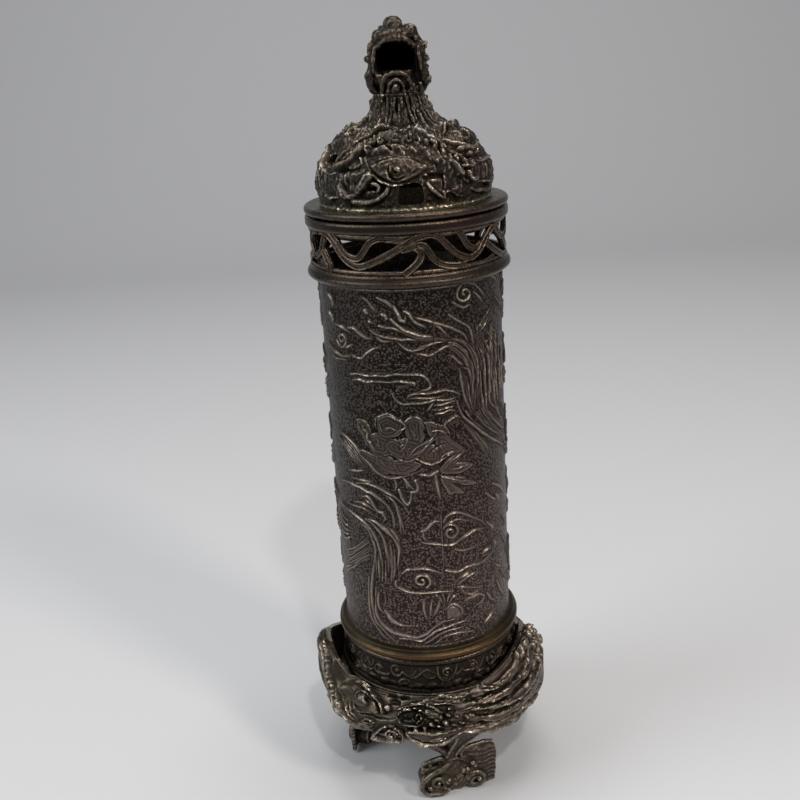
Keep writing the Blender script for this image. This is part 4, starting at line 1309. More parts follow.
def foot_clay():
    """One foot in its own place: x across it, y outwards from the axis, z up from the ground."""
    clay = Clay((-12.6, 15.6, -0.3), (14.2, 31.8, 24.2), 0.26)
    # heel block and the two toes
    clay.ball((0.2, 22.4, 4.6), (6.2, 3.2, 4.6), 0.8)
    clay.drum((-6.0, 4.3), 4.2, 19.6, 24.3, 0.6)
    clay.drum((6.5, 3.5), 3.3, 19.6, 25.1, 0.5)
    # roll that sweeps from the instep round the left toe, and the spirals
    clay.roll([(-1.0, 25.2, 11.6), (-3.6, 25.8, 10.0), (-7.2, 26.0, 8.6), (-9.7, 25.9, 6.2),
               (-10.2, 25.6, 3.6), (-8.8, 25.5, 1.5), (-6.4, 25.6, 0.7), (-3.8, 25.8, 0.8),
               (-2.2, 26.0, 2.2)],
              [0.7, 0.95, 0.8, 0.8, 0.75, 0.75, 0.7, 0.7, 0.6], 0.25)
    clay.roll(curl_line((-5.4, 3.9), 2.6, 1.5, -150, out=24.8), [0.8, 0.7, 0.6], 0.12, spacing=0.5)
    clay.ball((-5.0, 25.0, 4.2), (0.6, 1.0, 0.6), 0.15)
    clay.ball((-4.1, 24.6, 3.3), (0.55, 1.2, 0.65), 0.1, hollow=True)
    clay.roll(curl_line((6.5, 3.6), 2.9, 1.4, 150, -1, out=25.6), [1.0, 0.85, 0.7], 0.12, spacing=0.5)
    clay.ball((7.3, 26.2, 4.0), (0.75, 0.8, 0.75), 0.15)
    clay.ball((5.9, 25.6, 3.5), (0.6, 1.3, 0.8), 0.1, hollow=True)
    # knots on the web between the toes
    for k in range(16):
        t = k / 15
        clay.ball((-2.2 + 7.6 * t + rng.uniform(-0.9, 0.9), 25.4 + rng.uniform(-0.2, 0.5),
                   3.0 + 6.2 * t + rng.uniform(-1.1, 1.1)), rng.uniform(0.55, 1.0), 0.15)
    for k in range(4):
        clay.roll([(-1.8 + 1.2 * k, 24.6, 1.0), (0.4 + 1.3 * k, 25.4, 4.4), (2.0 + 1.2 * k, 25.0, 8.4)],
                  [0.5, 0.55, 0.45], 0.2)
    # smooth instep with its arched rim
    clay.ball((-1.0, 23.4, 8.8), (3.7, 2.5, 3.8), 0.5)
    clay.roll([(-3.4, 24.9, 10.9), (-1.0, 25.5, 12.4), (1.6, 25.3, 12.2), (3.4, 24.6, 10.6)],
              [0.4, 0.5, 0.5, 0.4], 0.2)
    # ankle and the two branches that hold the wreath
    clay.roll([(0.2, 22.6, 8.6), (-0.8, 23.2, 12.0), (-1.1, 23.9, 14.6)], [3.4, 2.3, 1.9], 0.7)
    clay.roll([(-1.1, 24.0, 13.4), (0.5, 24.8, 16.8), (2.7, 26.1, 20.2), (4.9, 27.2, 24)],
              [1.9, 1.6, 1.9, 3.0], 0.6, flat=((0, 1, 0), 0.72))
    clay.roll([(-1.4, 24.0, 13.4), (-4.4, 25.2, 16.8), (-7.2, 26.4, 19.6), (-9.8, 27.2, 23)],
              [1.5, 1.0, 0.9, 1.3], 0.5)
    clay.roll([(-2.4, 25.2, 13.0), (-1.0, 26.3, 16.6), (0.4, 27.4, 19.8), (1.0, 28.2, 23)],
              [0.5, 0.55, 0.5, 0.5], 0.2)
    clay.roll([(0.4, 25.2, 12.8), (1.6, 26.0, 15.8), (4.4, 27.0, 19.2), (8.4, 28.2, 23.2)],
              [0.5, 0.6, 0.55, 0.7], 0.2)
    clay.roll([(-0.7, 26.6, 14.8), (0.6, 27.4, 18.0), (2.2, 28.6, 21.6)], [0.45, 0.6, 0.6], 0.3, hollow=True)
    clay.roll([(-3.2, 24.6, 14.6), (-6.2, 26.4, 17.8), (-9.4, 27.8, 21.6)], [0.35, 0.4, 0.4], 0.2)
    # left: ring curl on its arm and the block under it
    clay.roll([(-2.0, 24.0, 11.6), (-5.0, 24.6, 12.6), (-7.6, 25.0, 12.6)], [1.3, 0.8, 0.6], 0.4)
    clay.roll(curl_line((-8.5, 11.2), 1.2, 0.95, 100, out=25.0, close=0.1), [0.55], 0.2, spacing=0.4)
    clay.roll([(-3.6, 23.4, 8.4), (-8.8, 23.6, 8.6)], [2.0, 1.2], 0.5)
    # right: a tall ruffled plate
    clay.roll([(3.4, 22.6, 4.0), (4.2, 23.0, 12.0)], [2.0, 2.2], 0.6)
    for k in range(9):
        z = 1.4 + 1.45 * k
        clay.roll([(3.6, 23.6, z + 1.0), (6.0, 24.2 + 0.3 * (k % 2), z + 0.9), (8.8, 24.0, z + 0.1),
                   (11.2, 23.7, z + 0.4), (12.8 - 0.1 * abs(k - 5), 23.3, z - 0.1)],
                  [1.2, 1.05, 1.0, 0.95, 0.75], 0.35)
    clay.roll([(12.4, 23.3, 13.4), (13.0, 23.2, 10.4), (12.6, 23.3, 7.6), (12.8, 23.2, 4.4)],
              [0.5, 0.6, 0.6, 0.5], 0.3)
    clay.roll([(3.6, 24.6, 11.6), (2.2, 25.2, 12.8), (2.0, 25.4, 14.2), (3.4, 25.3, 15.3), (6.4, 24.9, 15.7),
               (9.6, 24.2, 15.5), (12.2, 23.5, 14.7)], [0.7, 0.75, 0.75, 0.7, 0.65, 0.6, 0.5], 0.2)
    clay.roll([(3.6, 23.6, 14.0), (8.0, 23.7, 14.4), (11.8, 23.3, 13.8)], [1.0, 0.9, 0.7], 0.3)
    clay.roll([(1.0, 25.4, 14.6), (1.6, 25.5, 12.4), (3.6, 25.6, 11.2)], [0.35, 0.4, 0.4], 0.2, hollow=True)
    clay.field += 0.05 * grit(clay.field.shape, 3.0)
    clay.cut_below(0.0)
    clay.cut_above(CUP_BOTTOM + 1.2)
    return clay.skin()


def make_feet():
    points, faces = foot_clay()
    for number, name in enumerate(("front", "right", "left")):
        turn = (FOOT_TURN + 120 * number) * RAD
        x, y, z = points.T
        moved = np.stack([x * math.cos(turn) + y * math.sin(turn), x * math.sin(turn) - y * math.cos(turn),
                          z], 1)
        mesh = mesh_from(name, moved, faces[:, ::-1])
        residue = 0.6 * np.exp(-((x + 1) / 7) ** 2 - ((z - 5) / 4) ** 2)
        finish_piece(f"scroll_foot_{name}", mesh, WORN, "base", [f"foot_{name}"], angle=60,
                     rounds=(3, 10), depth=(0.05, 0.24), residue=residue)


# Pierced band
BAND_BARS = (
    [(-56, 169.4), (-50, 168.6), (-45, 166.8), (-40, 164.0), (-34, 162), (-28, 161.3), (-20, 162.4),
     (-10, 164.6), (-2, 166.6), (4, 168.2), (12, 168.8), (17, 168), (21, 166.2), (25, 164.2), (30, 162.5),
     (36, 161.7), (42, 162.8), (48, 165.2), (54, 167.6), (61, 169.4)],
    [(-47, 169.2), (-44, 167.6), (-40, 165.4), (-35, 163.8), (-29, 163.4), (-25, 165.2), (-21, 167.4),
     (-15, 168.5), (-8, 168.1), (-2, 167.8)],
    [(-4, 165.4), (2, 166.2), (8, 166.3), (11, 164.8), (14, 162.6), (19, 161), (26, 160.3), (33, 160.3)],
    [(-3, 159.2), (2, 160.9), (6, 162.8), (6.8, 164.6), (4, 166)],
    [(25, 169.4), (29, 168.8), (32, 166.8), (35, 164.8), (40, 163.8), (44, 164.6)],
    [(-54, 168), (-57, 165.4), (-54, 162.8), (-51, 160.8), (-51, 159.2)],
    [(-56, 166), (-60, 163.6), (-67, 162.4), (-72, 164.4), (-73, 167), (-69, 168.8), (-62, 169.2)],
    [(58, 169), (62, 166.4), (68, 164.8), (76, 165), (84, 167), (93, 169.4)],
    [(70, 164.8), (76, 162), (84, 160.4), (90, 159.2)],
    [(-90, 159.2), (-82, 160.6), (-74, 162.6), (-68, 162.6)],
    [(48, 165), (54, 163), (62, 161), (70, 159.4)],
)


def bar_tree():
    """Flowing bars along lines: a flat bar with a fine ridge along each side of it."""
    tree = bpy.data.node_groups.new("flowing bars", "GeometryNodeTree")
    tree.interface.new_socket("Geometry", in_out="INPUT", socket_type="NodeSocketGeometry")
    for name in ("Bar Width", "Bar Depth", "Ridge Size"):
        tree.interface.new_socket(name, in_out="INPUT", socket_type="NodeSocketFloat")
    tree.interface.new_socket("Finish", in_out="INPUT", socket_type="NodeSocketMaterial")
    tree.interface.new_socket("Geometry", in_out="OUTPUT", socket_type="NodeSocketGeometry")
    n = Nodes(tree)
    given = n.add("NodeGroupInput").outputs
    place = n.add("GeometryNodeInputPosition").outputs[0]
    out = n.vector("NORMALIZE", n.vector("MULTIPLY", place, (1, 1, 0)))
    across = n.vector("CROSS_PRODUCT", out, n.add("GeometryNodeInputTangent").outputs[0])
    line = n.add("GeometryNodeResampleCurve", {"Curve": given["Geometry"], "Length": 0.4 * MM},
                 mode="LENGTH").outputs[0]
    along = n.add("GeometryNodeSplineParameter").outputs["Factor"]
    thin = n.span(n.math("ABSOLUTE", n.math("SUBTRACT", along, 0.5)), 0.3, 0.5, 1.0, 0.7)
    parts = []
    for side in (0, -1, 1):
        shift = n.math("MULTIPLY", given["Bar Width"], 0.34 * side)
        lift = n.math("MULTIPLY", given["Bar Depth"], 0.42 * abs(side))
        offset = n.vector("ADD", n.vector("SCALE", across, scale=shift), n.vector("SCALE", out, scale=lift))
        path = n.add("GeometryNodeSetPosition", {"Geometry": line, "Offset": offset}).outputs[0]
        if not side:
            path = n.add("GeometryNodeSetCurveNormal", {"Curve": path, "Normal": out}, mode="FREE").outputs[0]
            wide = n.math("MULTIPLY", given["Bar Width"], 0.5)
            deep = n.math("MULTIPLY", given["Bar Depth"], 0.5)
        else:
            wide = deep = given["Ridge Size"]
        corners = 6 if side else 10
        ring = n.add("GeometryNodeCurvePrimitiveCircle", {"Resolution": corners, "Radius": 1.0}).outputs[0]
        size = n.add("ShaderNodeCombineXYZ", {0: deep, 1: wide, 2: 1.0}).outputs[0]
        section = n.add("GeometryNodeTransform", {"Geometry": ring, "Scale": size}).outputs[0]
        path = n.add("GeometryNodeSetCurveRadius", {"Curve": path, "Radius": thin}).outputs[0]
        bar = n.add("GeometryNodeCurveToMesh", {"Curve": path, "Profile Curve": section, "Fill Caps": True})
        parts.append(bar.outputs[0])
    both = n.add("GeometryNodeJoinGeometry")
    for part in parts:
        tree.links.new(part, both.inputs[0])
    real = n.add("GeometryNodeRealizeInstances", {"Geometry": both.outputs[0]}).outputs[0]
    done = n.add("GeometryNodeSetMaterial", {"Geometry": real, "Material": given["Finish"]}).outputs[0]
    n.add("NodeGroupOutput", {"Geometry": done})
    return tree


def set_inputs(modifier, values):
    for item in modifier.node_group.interface.items_tree:
        if item.item_type == "SOCKET" and item.in_out == "INPUT" and item.name in values:
            modifier[item.identifier] = values[item.name]


def grown(name, source, tree, values):
    """The plain mesh that a tree makes from a source curve or mesh."""
    holder = placed(name, source)
    modifier = holder.modifiers.new("grow", "NODES")
    modifier.node_group = tree
    set_inputs(modifier, values)
    ready = holder.evaluated_get(bpy.context.evaluated_depsgraph_get())
    mesh = bpy.data.meshes.new_from_object(ready)
    bpy.data.objects.remove(holder)
    return mesh


def lines_on_cylinder(name, lines, radius):
    curve = bpy.data.curves.new(name, "CURVE")
    curve.dimensions = "3D"
    for line in lines:
        points = smooth(line, 0.5, (RAD * radius, 1))
        spline = curve.splines.new("POLY")
        spline.points.add(len(points) - 1)
        for point, (angle, level) in zip(spline.points, points):
            point.co = (radius * MM * math.sin(angle * RAD), -radius * MM * math.cos(angle * RAD), level * MM,
                        1)
    return curve


def make_band():
    lines = [[(a + turn, z) for a, z in line] for line in BAND_BARS for turn in (0, 180)]
    curve = lines_on_cylinder("bars", lines, BAND_RADIUS - 0.55 * BAND_WALL)
    mesh = grown("bars", curve, bar_tree(), {"Bar Width": 1.9 * MM, "Bar Depth": 1.35 * MM,
                                             "Ridge Size": 0.36 * MM, "Finish": RINGS})
    finish_piece("flowing_bars", mesh, RINGS, "tube", ["pierced_band"], angle=60,
                 rounds=(1, 3), depth=(0.06, 0.2))
    inside = BAND_RADIUS - BAND_WALL
    for name, low in (("low", BAND_BOTTOM), ("high", COLLAR_BOTTOM - 0.9)):
        turned_ring(f"band_rim_{name}", rounded([
            (inside + 0.2, low), (BAND_RADIUS - 0.4, low), (BAND_RADIUS - 0.25, low + 0.45),
            (BAND_RADIUS - 0.4, low + 0.9), (inside + 0.2, low + 0.9)], 0.25), [], RINGS, "tube",
                    ())


# Lid
DOME_SIDE = ((174.6, 22.9), (175.2, 22.7), (177, 22.7), (180, 22.7), (183, 22.4), (185.4, 21.5),
             (187.4, 20.2), (189.2, 18.4), (190.8, 16.2), (192, 14.2), (193, 12.2))
# Holes in each half of the dome: angle, lowest and highest level, width
SMOKE_HOLES = ((3.6, 175.7, 181.1, 6.8), (-58, 184.7, 187.8, 4.0))
# Upright strands that run from the neck on to the dome: angle, lean, width, height
STRANDS = [(-180 + 9 * k + rng.uniform(-3.5, 3.5), rng.uniform(-7, 7), rng.uniform(0.75, 1.6),
            rng.uniform(0.3, 0.95))
           for k in range(40)]


def carve_dome(relief, climb, turn):
    """Half of the lid's dragon scroll: almond plate, arms, eyes, coils and a branching tail."""
    def put(points, width, height, **options):
        p = np.array(points, float)
        relief.stroke(np.c_[p[:, 0] + turn, climb(p[:, 1])], width, height, **options)

    def curl(angle, level, size, turns, width, height, **options):
        relief.spiral((angle + turn, climb(level)), size, turns, width, height, **options)

    # the broad masses: coils, arms, brow, eye, the scaly side and the ribbon over the almond
    for points, width, height in (([(-106, 179.4), (-84, 180), (-68, 181), (-56, 182)], 10, 0.5),
                                  ([(44, 181.6), (56, 182.4), (72, 181.6), (96, 180)], 10, 0.6),
                                  ([(-6, 192.6), (-20, 191.4), (-32, 189), (-42, 186.6), (-49, 185)], 4.4,
                                   1.5),
                                  ([(-82, 188.6), (-64, 190.2), (-48, 190.8), (-34, 191.8)], 4.6, 1.4),
                                  ([(46, 189.6), (56, 189.9), (68, 189.2)], 7.4, 1.7),
                                  ([(10, 189.6), (18, 187.8), (28, 185), (37, 182.4), (43, 180.8)], 7.0, 1.5),
                                  ([(14, 192.4), (24, 190.4), (34, 187.6), (42, 185)], 3.4, 1.4),
                                  ([(-50, 181.2), (-40, 182.6), (-30, 183.4), (-24, 184.4)], 5.0, 0.8),
                                  ([(-24, 188.2), (-10, 189.1), (3, 189), (13, 187.6)], 4.0, 1.2),
                                  ([(12, 178.6), (24, 178.6), (40, 178)], 5.0, 0.7),
                                  ([(-40, 178), (-26, 178.4), (-12, 178.8)], 5.0, 0.7)):
        put(points, width, height, form="soft", ends=(0.7, 0.7))
    # fine striations over coils, ribs and shoulders
    for k in range(64):
        angle, level = -96 + 3 * k + rng.uniform(-1.6, 1.6), rng.uniform(177.5, 183.5)
        put([(angle, level + 2.4), (angle + rng.uniform(-2, 2), level), (angle, level - 2.2)],
            rng.uniform(0.5, 0.9), rng.uniform(0.15, 0.45), mode="add", ends=(0.3, 0.3))
    for k in range(56):
        angle, level = rng.uniform(-76, 78), rng.uniform(184.5, 191.8)
        put([(angle - 2, level + 0.9), (angle, level), (angle + 1.4, level - 1.2)], rng.uniform(0.5, 0.9),
            rng.uniform(0.15, 0.5), mode="add", ends=(0.3, 0.3))
    # branching tail at the lower left and the ribbon at the right of the hole
    put([(-43.6, 181.4), (-42.4, 179.8), (-39, 178.7), (-34, 178.4), (-29.6, 179.2), (-26.4, 180.6),
         (-23.6, 182.2), (-21, 183)], 2.5, 2.3, ends=(0.3, 0.9))
    put([(-38, 177.9), (-31, 177.3), (-23, 177.1), (-16, 177.7), (-11.6, 178.9), (-9, 180.8)], 2.0, 2.0,
        ends=(0.4, 0.5))
    put([(-21, 181.6), (-17, 181.3), (-15, 180.4), (-16.6, 179.4), (-19.6, 179.5)], 1.3, 1.7, ends=(0.8, 0.4))
    put([(-21.6, 180), (-19.6, 180.7), (-18, 180.5)], 1.2, 1.0, mode="cut", ends=(1, 1))
    put([(13, 182.2), (18, 181.6), (24, 181), (31, 180)], 4.2, 1.9, mode="cut", ends=(0.2, 0.2))
    put([(19, 180), (24, 180), (32, 179.2)], 2.4, 1.2, mode="cut", ends=(0.2, 0.2))
    put([(14.4, 180.9), (15.7, 180), (17.4, 179), (19.6, 178.1), (22.6, 177.2)], 1.5, 2.3, ends=(0.6, 0.9))
    put([(23.4, 178.6), (23.8, 177.9), (23.9, 177)], 1.0, 2.0, ends=(0.9, 0.9))
    put([(24.6, 178), (27.4, 178.5), (31.4, 177.8), (35, 176.9), (40, 176.5)], 0.9, 1.9, ends=(0.8, 0.3))
    put([(-62, 178.6), (-54, 177.4), (-47, 177.6)], 1.4, 1.0)
    put([(46, 178.2), (56, 177), (68, 177.4), (80, 178.4)], 1.5, 1.1)
    # almond plate with a bright lower lip, a boss in its hollow ring and a soft upper edge
    relief.plate([(a + turn, climb(z)) for a, z in ((-22.4, 185.4), (-14, 186.4), (-6, 187), (2, 186.8),
                                                    (10, 185.8), (16, 184.4), (8.6, 182.5), (0, 181.2),
                                                    (-7, 180.9), (-13, 182), (-18.6, 183.5))], 1.5, lip=0.1,
                 dome=0.3, edge=0.8)
    put([(-23, 185.8), (-21, 184.4), (-17, 182.9), (-11, 181.5), (-5, 180.8), (2, 181.1), (7, 182)], 0.8, 2.3,
        ends=(0.7, 0.2))
    put([(-8.4, 185), (-8.8, 183.6), (-6.6, 182.4), (-3, 182), (0.4, 182.6)], 1.0, 0.9,
        mode="cut", ends=(0.6, 0.6))
    put([(-4.6, 183.9), (-2.6, 183.8)], 2.6, 2.3, form="soft", ends=(1, 1))
    curl(-3.6, 183.9, 1.3, 1.2, 0.6, 2.5, start=150)
    put([(3.6, 183.5), (8, 184.1), (12.4, 184.1)], 1.6, 2.3, form="soft", ends=(0.3, 1))
    put([(-17, 186.4), (-7, 187), (3, 186.6), (11, 185.6)], 1.7, 1.7, form="soft")
    # left arm: a flat band between two fine ridges that run into a pointed curl
    put([(-6, 192.9), (-16, 192.6), (-24, 191.7), (-31, 190.5), (-37, 189.1), (-43, 187.3), (-49, 185)], 0.8,
        2.4, ends=(0.5, 0.7))
    put([(-13, 191), (-20, 190.3), (-27, 188.8), (-33, 187.4), (-38.6, 186), (-44, 184.9), (-49.4, 184.7)],
        0.8, 2.4, ends=(0.2, 0.8))
    put([(-38, 187.4), (-43, 186), (-47, 185.3)], 0.9, 0.7, mode="cut")
    put([(-52, 187.8), (-60, 187), (-66, 186)], 2.6, 1.1, mode="cut", ends=(0.9, 0.6))
    put([(-46, 183.9), (-38, 184.4), (-31, 184.8), (-27, 186)], 1.2, 0.9, mode="cut")
    put([(-72, 187.8), (-66, 184.8), (-57, 183.2), (-50, 183.4)], 1.6, 1.4, form="soft")
    put([(-84, 190), (-76, 188.4), (-70, 185.6), (-68, 181), (-69, 177)], 1.5, 1.2, form="soft")
    curl(-61, 191.3, 1.2, 1.1, 0.7, 1.9, start=110)
    # curls between the arms
    for angle, level, size, hand in ((-15.6, 190, 1.25, 1), (-4.6, 190.7, 1.35, -1), (6.6, 190.2, 1.2, 1),
                                     (14, 188.6, 1.0, -1), (-24, 188.3, 0.9, 1)):
        curl(angle, level, size, 0.85, 0.7, 1.9, start=60 * hand, hand=hand)
    for middle, level in ((-10, 189), (1.4, 189.2), (-20, 189.2), (11, 190)):
        put([(middle - 2, level + 0.4), (middle + 2, level - 0.3)], 1.3, 1.1, mode="cut",
            ends=(0.8, 0.8))
    # right arm, its dark groove and the scaly side under it
    put([(20, 192.4), (27, 190.6), (34, 188.3), (40, 186.2)], 1.0, 1.3, mode="cut")
    put([(12, 192.6), (19, 191.3), (24, 189.8), (30, 187.9), (35, 186.4), (39, 185.3), (41, 183.8)], 0.9, 2.2,
        ends=(0.5, 0.8))
    put([(28, 186), (31.6, 184.9), (35.6, 182.9), (38.4, 181), (42, 180)], 1.6, 2.4, ends=(0.4, 0.4))
    put([(35.6, 183.8), (42, 183.6), (51, 182.8)], 1.0, 2.2, ends=(0.8, 0.2))
    put([(43, 181), (47, 180.4), (51, 180.8)], 1.6, 2.0, ends=(0.8, 0.5))
    for k in range(24):
        share = rng.uniform(0, 1)
        angle = 14 + 24 * share + rng.uniform(-3.5, 3.5)
        level = 189 - 6.6 * share + rng.uniform(-1.8, 1.6)
        put([(angle - 0.6, level + 0.8), (angle + rng.uniform(0, 1.4), level - 0.8)], rng.uniform(0.8, 1.4),
            rng.uniform(1.8, 2.4), ends=(0.9, 0.3))
    # eye at the right in its ring, with heavy lids, and the knob above it
    put([(54, 190), (56, 190)], 4.2, 2.2, form="soft", ends=(1, 1))
    curl(55, 190, 2.2, 0.9, 0.75, 2.3, start=200)
    put([(54.4, 190.1), (55.6, 190.1)], 1.3, 2.9, ends=(1, 1))
    put([(35, 189.7), (42, 188.5), (49, 187.3), (56, 186.9), (62, 187.4), (69, 188.8)], 1.4, 2.3,
        ends=(0.4, 0.4))
    put([(40, 187.8), (47, 186), (56, 185), (66, 185.6)], 1.2, 1.1, mode="cut")
    put([(42, 191.2), (49, 192.2), (58, 192.2), (68, 190.9)], 1.0, 1.9)
    put([(67, 192.3), (76, 192.1)], 2.6, 2.0, ends=(0.9, 0.8))
    for angle, level in ((44, 187.4), (50.6, 186.3), (58, 186.1)):
        put([(angle - 1, level), (angle + 1, level)], 1.3, 2.0, ends=(0.9, 0.9))
    for points in ([(50, 184.6), (60, 184), (74, 184.4), (90, 183.6)], [(54, 179.6), (66, 179), (80, 179.6)]):
        put(points, 1.8, 1.6, form="soft", ends=(0.3, 0.3))


def dome_holes():
    """Blocks with cut corners that open the smoke holes."""
    blocks, corner = [], 0.9
    for turn in (0, 180):
        for middle, low, high, wide in SMOKE_HOLES:
            a = (middle + turn) * RAD
            block = bpy.data.meshes.new("block")
            half, reach = wide / 2, np.array((math.sin(a), -math.cos(a)))
            side = np.array((math.cos(a), math.sin(a)))
            face = [(-half + corner, low), (half - corner, low), (half, low + corner),
                    (half * 0.86, high - corner), (half * 0.55, high), (-half * 0.5, high),
                    (-half * 0.8, high - corner), (-half, low + corner)]
            points = [(*(reach * r + side * x), z) for r in (17.0, 28.0) for x, z in face]
            count = len(face)
            faces = [(k, (k + 1) % count, (k + 1) % count + count, k + count) for k in range(count)]
            block.from_pydata([tuple(c * MM for c in p) for p in points], [],
                              faces + [tuple(range(count))[::-1], tuple(range(count, 2 * count))])
            blocks.append(block)
    return blocks


def cut_out(mesh, blocks):
    """The mesh with the blocks taken out of it."""
    body, tools = placed("body", mesh), [placed("tool", block) for block in blocks]
    for tool in tools:
        change = body.modifiers.new("open", "BOOLEAN")
        change.operation, change.solver, change.object = "DIFFERENCE", "EXACT", tool
    ready = body.evaluated_get(bpy.context.evaluated_depsgraph_get())
    opened = bpy.data.meshes.new_from_object(ready)
    for item in [body, *tools]:
        bpy.data.objects.remove(item)
    return opened


def make_dome():
    side = smooth([(r, z) for z, r in DOME_SIDE], 0.26)
    at, points, normals = outline_steps(side, 0.24)
    relief = Relief((-180, 180), (0, at[-1]), lambda run: np.interp(run, at, points[:, 0]), 0.24)
    for turn in (0, 180):
        carve_dome(relief, lambda z: np.interp(z, points[:, 1], at), turn)
    seam = at[-1]
    for angle, lean, width, height in STRANDS:
        relief.stroke([(angle - lean, seam + 0.4), (angle - 1.2 * lean, seam - 1.2),
                       (angle - 1.5 * lean, seam - 3.4)],
                      width, height, ends=(1, 0.2))
    columns = 620
    carved = np.clip(relief.read(at, full_turn(columns)), -1.2, 3.0) * np.minimum(1.0, at / 0.8)[:, None]
    carved[-3:] = np.minimum(carved[-3:], 1.0)
    carved += 0.1 * grit(carved.shape, 3.4) + 0.06 * grit(carved.shape, 1.8)
    inner = [(10.4, 193.0), (12.0, 191.2), (16.9, 187.0), (19.2, 183.6), (19.9, 179), (19.7, DOME_BOTTOM)]
    section = np.vstack([points, inner])
    mesh = ring_mesh("dome", section, columns, (normals, carved))
    mesh = cut_out(mesh, dome_holes())
    x, y, z = corners_of(mesh)
    within = np.hypot(x, y) < np.interp(z, *np.array(DOME_SIDE).T) - 1.6
    finish_piece("lid_dragon_dome", mesh, CAST, "lid", ["lid_dome"], rounds=(3, 14),
                 depth=(0.12, 0.4), residue=np.exp(-((z - DOME_BOTTOM) / 1.1) ** 2), soot=within * PURE_BLACK)


def make_neck():
    """Neck of the finial: uneven upright strands between the dome and the head."""
    side = smooth([(12.0, DOME_TOP), (9.6, 194.2), (8.0, 196.0), (7.0, 198.0), (6.4, 200.0), (6.2, NECK_TOP)],
                  0.3)
    _, points, normals = outline_steps(side, 0.22)
    relief = Relief((-180, 180), (DOME_TOP, NECK_TOP), lambda s: 9.5, 0.14)
    for start, lean, width, height in STRANDS:
        relief.stroke([(start + lean, NECK_TOP + 0.4), (start + 0.4 * lean, 199), (start - 0.4 * lean, 196),
                       (start - lean, DOME_TOP - 0.4)], 1.15 * width, height, ends=(0.9, 0.9))
    for _ in range(60):
        start, level = rng.uniform(-180, 180), rng.uniform(194, 200.5)
        relief.stroke([(start, level + 1.6), (start + rng.uniform(-5, 5), level - 1.4)],
                      rng.uniform(0.5, 0.9), rng.uniform(0.3, 0.6), mode="add", ends=(0.3, 0.3))
    for start, low in ((-9, 195.2), (-2, 194.4), (5, 196)):
        relief.stroke([(start, NECK_TOP + 0.3), (start + 1, 198.6), (start - 1, low)], 1.9, 1.5,
                      ends=(1, 0.2))
    relief.stroke([(-4, 200), (-5, 197.4), (-4, 195.4)], 1.2, 1.0, mode="cut")
    columns = 420
    carved = relief.read(points[:, 1], full_turn(columns))
    carved += 0.09 * grit(carved.shape, 3.0)
    carved[:3] = np.minimum(carved[:3], 1.0)
    carved[-5:] = np.minimum(carved[-5:], 0.45)
    section = np.vstack([points, [(5.0, NECK_TOP), (7.0, DOME_TOP)]])
    mesh = ring_mesh("neck", section, columns, (normals, carved))
    # above the dome it leans 0.2 mm to the left, over 6 mm of its height
    for vertex in mesh.vertices:
        vertex.co.x -= 0.0002 * min(1.0, max(0.0, (vertex.co.z * 1000 - DOME_TOP) / 6))
    finish_piece("finial_neck", mesh, CAST, "lid", ["dragon_neck"], rounds=(2, 9),
                 depth=(0.08, 0.3))


